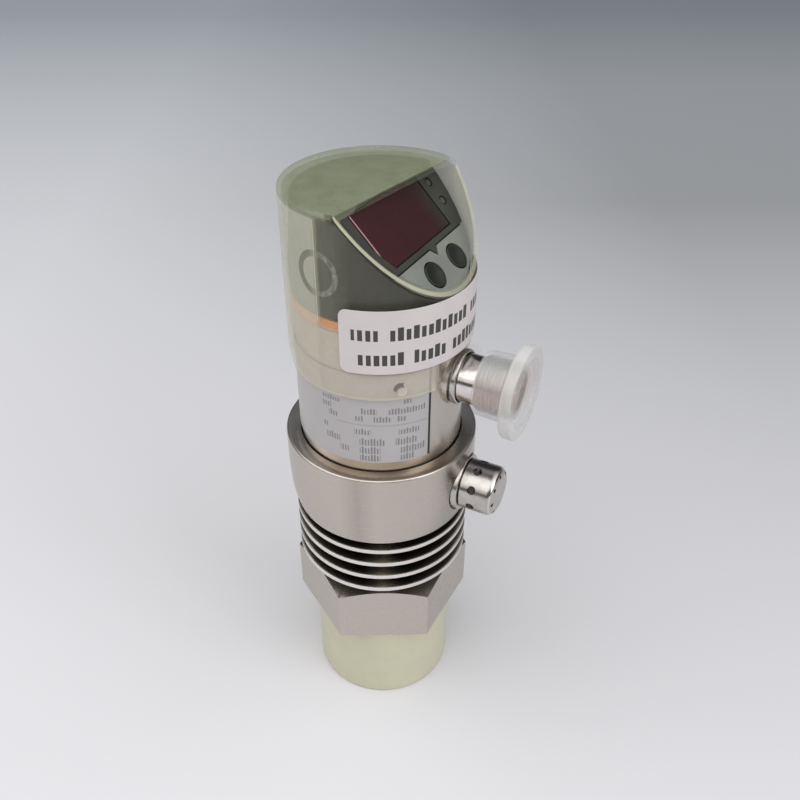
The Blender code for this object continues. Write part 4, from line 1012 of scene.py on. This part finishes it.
def wrapped_sheet(name, radius, low, high, start, end, corner=0.0):
    """A thin sheet wrapped round the axis, with rounded corners."""
    reach = (end - start) * radius
    stops = [i / SHEET_STEPS * reach for i in range(SHEET_STEPS + 1)]
    quarter = [math.radians(90.0 * i / CORNER_STEPS) for i in range(1, CORNER_STEPS + 1)]
    fine = [corner * (1.0 - math.cos(angle)) for angle in quarter]
    stops = sorted(set(stops + fine + [reach - value for value in fine]))
    bm = bmesh.new()
    rows = []
    for along in stops:
        nearest = min(along, reach - along)
        inset = 0.0
        if nearest < corner:
            inset = corner - math.sqrt(corner ** 2 - (corner - nearest) ** 2)
        angle = start + along / radius
        column = []
        for side_r in (radius, radius + SKIN_T):
            x = side_r * math.cos(angle)
            y = side_r * math.sin(angle)
            column.append((bm.verts.new((x, y, low + inset)), bm.verts.new((x, y, high - inset))))
        rows.append(column)
    for here, there in zip(rows, rows[1:]):
        bm.faces.new((here[1][0], there[1][0], there[1][1], here[1][1]))
        bm.faces.new((here[0][1], there[0][1], there[0][0], here[0][0]))
        bm.faces.new((here[0][0], there[0][0], there[1][0], here[1][0]))
        bm.faces.new((here[1][1], there[1][1], there[0][1], here[0][1]))
    for column, flip in ((rows[0], False), (rows[-1], True)):
        corners = [column[0][0], column[1][0], column[1][1], column[0][1]]
        bm.faces.new(list(reversed(corners)) if flip else corners)
    bmesh.ops.recalc_face_normals(bm, faces=bm.faces)
    mesh = mesh_from(name, bm)
    smooth(mesh)
    return new_piece(name, mesh)


def build_skins():
    label = wrapped_sheet(
        "type_label_fine",
        TUBE_R + SKIN_GAP,
        low_z("type_label"),
        high_z("type_label"),
        LABEL_START,
        LABEL_END,
    )
    stand_for("type_label", label)
    sticker = wrapped_sheet(
        "cover_sticker_fine",
        COVER_R + SKIN_GAP,
        low_z("cover_sticker"),
        high_z("cover_sticker"),
        STICKER_START,
        STICKER_END,
        STICKER_CORNER,
    )
    stand_for("cover_sticker", sticker)


def build_cover():
    foot = low_z("head_cover")
    top = high_z("head_cover")
    low = foot - 20.0 * MM
    bevel_z = foot + COVER_BEVEL_H
    profile = [(0.0, top)]
    profile += arc(COVER_R - COVER_EDGE, top - COVER_EDGE, COVER_EDGE, 90.0, 0.0, 6)
    profile += [(COVER_R, bevel_z + 0.4 * MM), (COVER_R - 0.03 * MM, bevel_z)]
    profile += [(COVER_FOOT_R, foot), (COVER_FOOT_R, low), (0.0, low)]
    cover = turned("cover_shell", profile)
    boolean(cover, rod("hood", HOOD_R, 0.0, HOOD_END, MEDIUM, PORT), "UNION")
    gate = side_place(GATE_AZ, foot + GATE_RISE)
    boolean(cover, rod("gate_stub", GATE_R, 0.0, COVER_R + GATE_L, SMALL, gate), "UNION")
    cut = box_between("cover_cut", (-FAR, -FAR, 0.0), (FAR, FAR, FAR), COVER_CUT)
    boolean(cover, cut, "DIFFERENCE")
    roof = top - COVER_TOP_T
    inner = COVER_R - COVER_WALL
    edge = COVER_EDGE - COVER_WALL / 2.0
    hollow = [(0.0, roof)] + arc(inner - edge, roof - edge, edge, 90.0, 0.0, 3)
    hollow += [(inner, bevel_z), (COVER_FOOT_BORE_R, foot)]
    hollow += [(COVER_FOOT_BORE_R, low - FAR), (0.0, low - FAR)]
    boolean(cover, turned("cover_hollow", hollow), "DIFFERENCE")
    under = box_between("cover_foot_cut", (-FAR, -FAR, low - FAR), (FAR, FAR, foot))
    boolean(cover, under, "DIFFERENCE")
    boolean(cover, rod("hood_passage", HOOD_BORE_R, 0.0, FAR, MEDIUM, PORT), "DIFFERENCE")
    stand_for("head_cover", cover)


def build_plug():
    inside = math.sqrt(TUBE_BORE_R ** 2 - PORT_FLANGE_R ** 2)
    flange_end = inside - 2.0 * GAP - PORT_SEAL_L
    flange_start = flange_end - PORT_FLANGE_L
    nut_start = PORT_LIP_END + GAP
    nut_end = nut_start + PORT_NUT_L
    thread = nut_end + GAP + PORT_NECK_L
    end = thread + PORT_THREAD_L
    edge = 0.25 * MM
    root = PORT_THREAD_R - PORT_RIDGE
    profile = [(PORT_BORE_R, end), (root, end)]
    pitch = (PORT_THREAD_L - 2.0 * PORT_RUNOUT) / PORT_RIDGES
    for i in range(PORT_RIDGES):
        high = end - PORT_RUNOUT - i * pitch
        profile += [
            (root, high),
            (PORT_THREAD_R, high - 0.38 * pitch),
            (PORT_THREAD_R, high - 0.55 * pitch),
            (root, high - 0.93 * pitch),
        ]
    profile += [
        (root, thread),
        (PORT_STEM_R, thread),
        (PORT_STEM_R, flange_end),
        (PORT_FLANGE_R, flange_end),
        (PORT_FLANGE_R, flange_start),
        (PORT_BORE_R, flange_start),
    ]
    stand_for("connector_body", turned("plug_body", profile, MEDIUM, PORT))
    bore = PORT_STEM_R + GAP
    profile = [(bore, nut_end)]
    profile += arc(PORT_NUT_R - edge, nut_end - edge, edge, 90.0, 0.0, 3)
    profile += arc(PORT_NUT_R - edge, nut_start + edge, edge, 0.0, -90.0, 3)
    profile.append((bore, nut_start))
    stand_for("connector_nut", turned("plug_nut", profile, MEDIUM, PORT))

    low = thread + GAP
    floor = end + GAP
    cap_end = floor + PORT_CAP_WALL + PORT_CAP_RECESS_DEPTH
    brim = cap_end - PORT_CAP_FLANGE_T
    inner = PORT_THREAD_R + GAP
    soft = 0.7 * MM
    crisp = 0.35 * MM
    profile = [(0.0, floor + PORT_CAP_WALL), (PORT_CAP_RECESS_R, floor + PORT_CAP_WALL)]
    profile += [(PORT_CAP_RECESS_R + PORT_CAP_RECESS_DEPTH, cap_end)]
    profile += arc(PORT_CAP_FLANGE_R - crisp, cap_end - crisp, crisp, 90.0, 0.0, 4)
    profile += arc(PORT_CAP_FLANGE_R - soft, brim + soft, soft, 0.0, -90.0, 5)
    root = PORT_CAP_R + PORT_CAP_DRAFT
    profile += [(root + 0.4 * MM, brim), (root, brim - 0.4 * MM)]
    edge = PORT_CAP_EDGE
    profile += arc(PORT_CAP_R - edge, low + edge, edge, 0.0, -90.0, 6)
    profile += [(inner, low), (inner, floor), (0.0, floor)]
    stand_for("connector_cap", turned("plug_cap", profile, MEDIUM, PORT))


def build_vent():
    base = VENT_SEAT + GAP
    lip_end = base + VENT_LIP_H
    neck_r = VENT_R - VENT_WALL - GAP
    neck_end = lip_end + VENT_NECK_L
    depth = base + VENT_LIP_H / 2.0
    edge = 0.3 * MM
    profile = [(VENT_BORE_R, neck_end), (neck_r, neck_end), (neck_r, lip_end)]
    profile += arc(VENT_LIP_R - edge, lip_end - edge, edge, 90.0, 0.0, 4)
    profile += [
        (VENT_LIP_R, base),
        (VENT_SEAL_R + GAP, base),
        (VENT_SEAL_R + GAP, depth),
        (VENT_SPIGOT_R, depth),
        (VENT_SPIGOT_R, VENT_SPIGOT_END),
        (VENT_BORE_R, VENT_SPIGOT_END),
    ]
    stand_for("vent_body", turned("vent_base", profile, MEDIUM, VENT))

    low = lip_end + GAP
    inner = VENT_R - VENT_WALL
    profile = [(0.0, VENT_END)]
    profile += arc(VENT_R - VENT_EDGE, VENT_END - VENT_EDGE, VENT_EDGE, 90.0, 0.0, 12)
    profile += [(VENT_R, low), (inner, low), (inner, VENT_END - VENT_FLOOR)]
    profile.append((0.0, VENT_END - VENT_FLOOR))
    cap = turned("vent_cap_fine", profile, MEDIUM, VENT)
    top = math.radians(180.0)
    quarter = math.radians(90.0)
    for i in range(VENT_HOLE_COUNT):
        step = 2.0 * math.pi * i / VENT_HOLE_COUNT
        turn = Matrix.Rotation(top - VENT_HOLE_TURN + step, 4, "Z")
        tip = Matrix.Rotation(quarter, 4, "Y")
        place = VENT @ Matrix.Translation((0.0, 0.0, VENT_END - VENT_HOLE_BACK)) @ turn @ tip
        boolean(cap, rod("vent_hole_%d" % i, VENT_HOLE_R, 0.0, FAR, SMALL, place), "DIFFERENCE")
        angle = top - VENT_DRAIN_TURN + step
        at = (VENT_DRAIN_AT * math.cos(angle), VENT_DRAIN_AT * math.sin(angle), VENT_END)
        place = VENT @ Matrix.Translation(at)
        reach = VENT_DRAIN_REACH
        drain = rod("vent_drain_%d" % i, VENT_DRAIN_R, -reach, reach, SMALL, place)
        boolean(cap, drain, "DIFFERENCE")
    stand_for("vent_cap", cap)


def build_buttons():
    flange_top = -PLATE_T - GAP
    flange_low = flange_top - BUTTON_FLANGE_T
    stem_low = flange_low - BUTTON_STEM_L
    soft = 0.22 * MM
    crown = BUTTON_PROUD
    profile = [(0.0, crown - BUTTON_DISH)]
    for i in range(1, 7):
        part = i / 6.0
        reach = (BUTTON_R - 2.0 * soft) * part
        profile.append((reach, crown - BUTTON_DISH * (1.0 - part ** 2)))
    profile += arc(BUTTON_R - soft, crown - soft, soft, 90.0, 0.0, 4)
    profile += [
        (BUTTON_R, flange_top),
        (BUTTON_FLANGE_R, flange_top),
        (BUTTON_FLANGE_R, flange_low),
        (BUTTON_STEM_R, flange_low),
        (BUTTON_STEM_R, stem_low),
        (0.0, stem_low),
    ]
    for i, side in enumerate((-1.0, 1.0)):
        place = FACE @ Matrix.Translation((side * BUTTON_U, -BUTTON_V, 0.0))
        button = turned("button_%d_fine" % (i + 1), profile, 64, place)
        stand_for("push_button_%d" % (i + 1), button, body="button_%d" % (i + 1))


def build_stage():
    """A pale sweep: a floor that darkens away from the camera, with painted shade towards its right,
    and curves up far behind.
    """
    profile = [(FLOOR_NEAR, 0.0), (FLOOR_FAR, 0.0)]
    for i in range(1, CURVE_STEPS + 1):
        angle = math.radians(90.0 * i / CURVE_STEPS)
        profile.append((FLOOR_FAR + CURVE_R * math.sin(angle), CURVE_R * (1.0 - math.cos(angle))))
    profile.append((FLOOR_FAR + CURVE_R, WALL_TOP))
    bm = bmesh.new()
    sides = (-STAGE_HALF_W, STAGE_HALF_W)
    rows = [[bm.verts.new((x, y, z)) for x in sides] for y, z in profile]
    for low, high in zip(rows, rows[1:]):
        bm.faces.new((low[0], low[1], high[1], high[0]))
    mesh = mesh_from("sweep", bm)
    mesh.shade_smooth()
    sweep = new_piece("sweep", mesh)
    finish = Finish("sweep_finish")
    _, x, y, z = finish.point()
    reach = y + z * 1.6
    distant = finish.remap(reach, -0.05, 0.82, 0.0, 1.0)
    wall = finish.remap(reach, 0.9, 3.2, 0.0, 1.0)
    # Painted shade towards the right of the floor, strongest at middle depth
    right = finish.remap(x, -0.17, 0.16, 0.0, 1.0)
    right_shade_by_depth = finish.ramp(y, (-0.05, 0.14), (0.12, 0.28), (0.31, 0.50), (0.55, 0.36))
    seen = reduce(Socket.max, [
        finish.node("ShaderNodeLightPath", None, None, "Is %s Ray" % kind)
        for kind in ("Camera", "Glossy", "Transmission")
    ])
    color = finish.layers(
        (0.79, 0.785, 0.81),
        (distant, (0.37, 0.41, 0.44)),
        (wall, (0.10, 0.10, 0.10)),
        # Painted shade towards the right
        (right * right_shade_by_depth, (0.02, 0.03, 0.03)),
        ((1.0 - seen) * 0.45, (0.02, 0.02, 0.02)),
    )
    finish.set(Base_Color=color, Roughness=0.8, Specular_IOR_Level=0.2)
    mesh.materials.append(finish.material)


def build_world():
    """A studio that is bright overhead and in front, and darker behind and low down."""
    world = bpy.data.worlds.new("studio")
    bpy.context.scene.world = world
    finish = Finish("studio", world)
    _, _, y, z = finish.coordinates("Generated")
    light = finish.node("ShaderNodeValToRGB", {"stops": (
        (0.0, (0.05, 0.04, 0.035)),
        (0.28, (0.11, 0.085, 0.08)),
        (0.44, (0.28, 0.24, 0.23)),
        (0.52, (0.86, 0.85, 0.86)),
        (0.80, (0.90, 0.91, 0.93)),
        (1.0, (0.86, 0.87, 0.90)),
    )}, [z])
    back = finish.remap(y, 0.15, 0.50, 0.0, 0.85)
    finish.set(Color=finish.mix(back, light, (0.15, 0.15, 0.155)), Strength=1.15)


def area_light(name, place, target, size, power, color=(1.0, 1.0, 1.0)):
    data = bpy.data.lights.new(name, "AREA")
    data.shape = "RECTANGLE"
    data.size = size[0]
    data.size_y = size[1]
    data.energy = power
    data.color = color
    lamp = bpy.data.objects.new(name, data)
    lamp.location = place
    aim = Vector(target) - Vector(place)
    lamp.rotation_euler = aim.to_track_quat("-Z", "Y").to_euler()
    bpy.context.scene.collection.objects.link(lamp)


def build_lights():
    middle = (0.0, 0.0, 0.07)
    area_light("key", (-0.40, -0.30, 0.80), middle, (1.6, 1.6), 6.2, (1.0, 0.98, 0.95))
    area_light("fill", (0.7, -0.5, 0.5), middle, (0.6, 0.7), 2.6, (0.97, 0.98, 1.0))


def build_camera():
    data = bpy.data.cameras.new("camera")
    data.sensor_width = 36.0
    data.lens = CAMERA_LENS
    data.clip_start = 0.01
    camera = bpy.data.objects.new("camera", data)
    right = Vector((math.cos(CAMERA_YAW), -math.sin(CAMERA_YAW), 0.0))
    flat = Vector((math.sin(CAMERA_YAW), math.cos(CAMERA_YAW), 0.0))
    ahead = flat * math.cos(CAMERA_PITCH) - Vector((0.0, 0.0, math.sin(CAMERA_PITCH)))
    up = flat * math.sin(CAMERA_PITCH) + Vector((0.0, 0.0, math.cos(CAMERA_PITCH)))
    rolled_right = right * math.cos(CAMERA_ROLL) - up * math.sin(CAMERA_ROLL)
    rolled_up = right * math.sin(CAMERA_ROLL) + up * math.cos(CAMERA_ROLL)
    basis = Matrix((rolled_right, rolled_up, -ahead)).transposed().to_4x4()
    basis.translation = Vector((0.0, -CAMERA_BACK, CAMERA_HEIGHT))
    camera.matrix_world = basis
    bpy.context.scene.collection.objects.link(camera)
    bpy.context.scene.camera = camera


dress_nodes()
build_foot_cap()
build_process_body()
build_collar()
build_tube()
build_skins()
build_cover()
build_plug()
build_vent()
build_buttons()
build_stage()
build_world()
build_lights()
build_camera()
bpy.context.scene.view_settings.view_transform = "Standard"
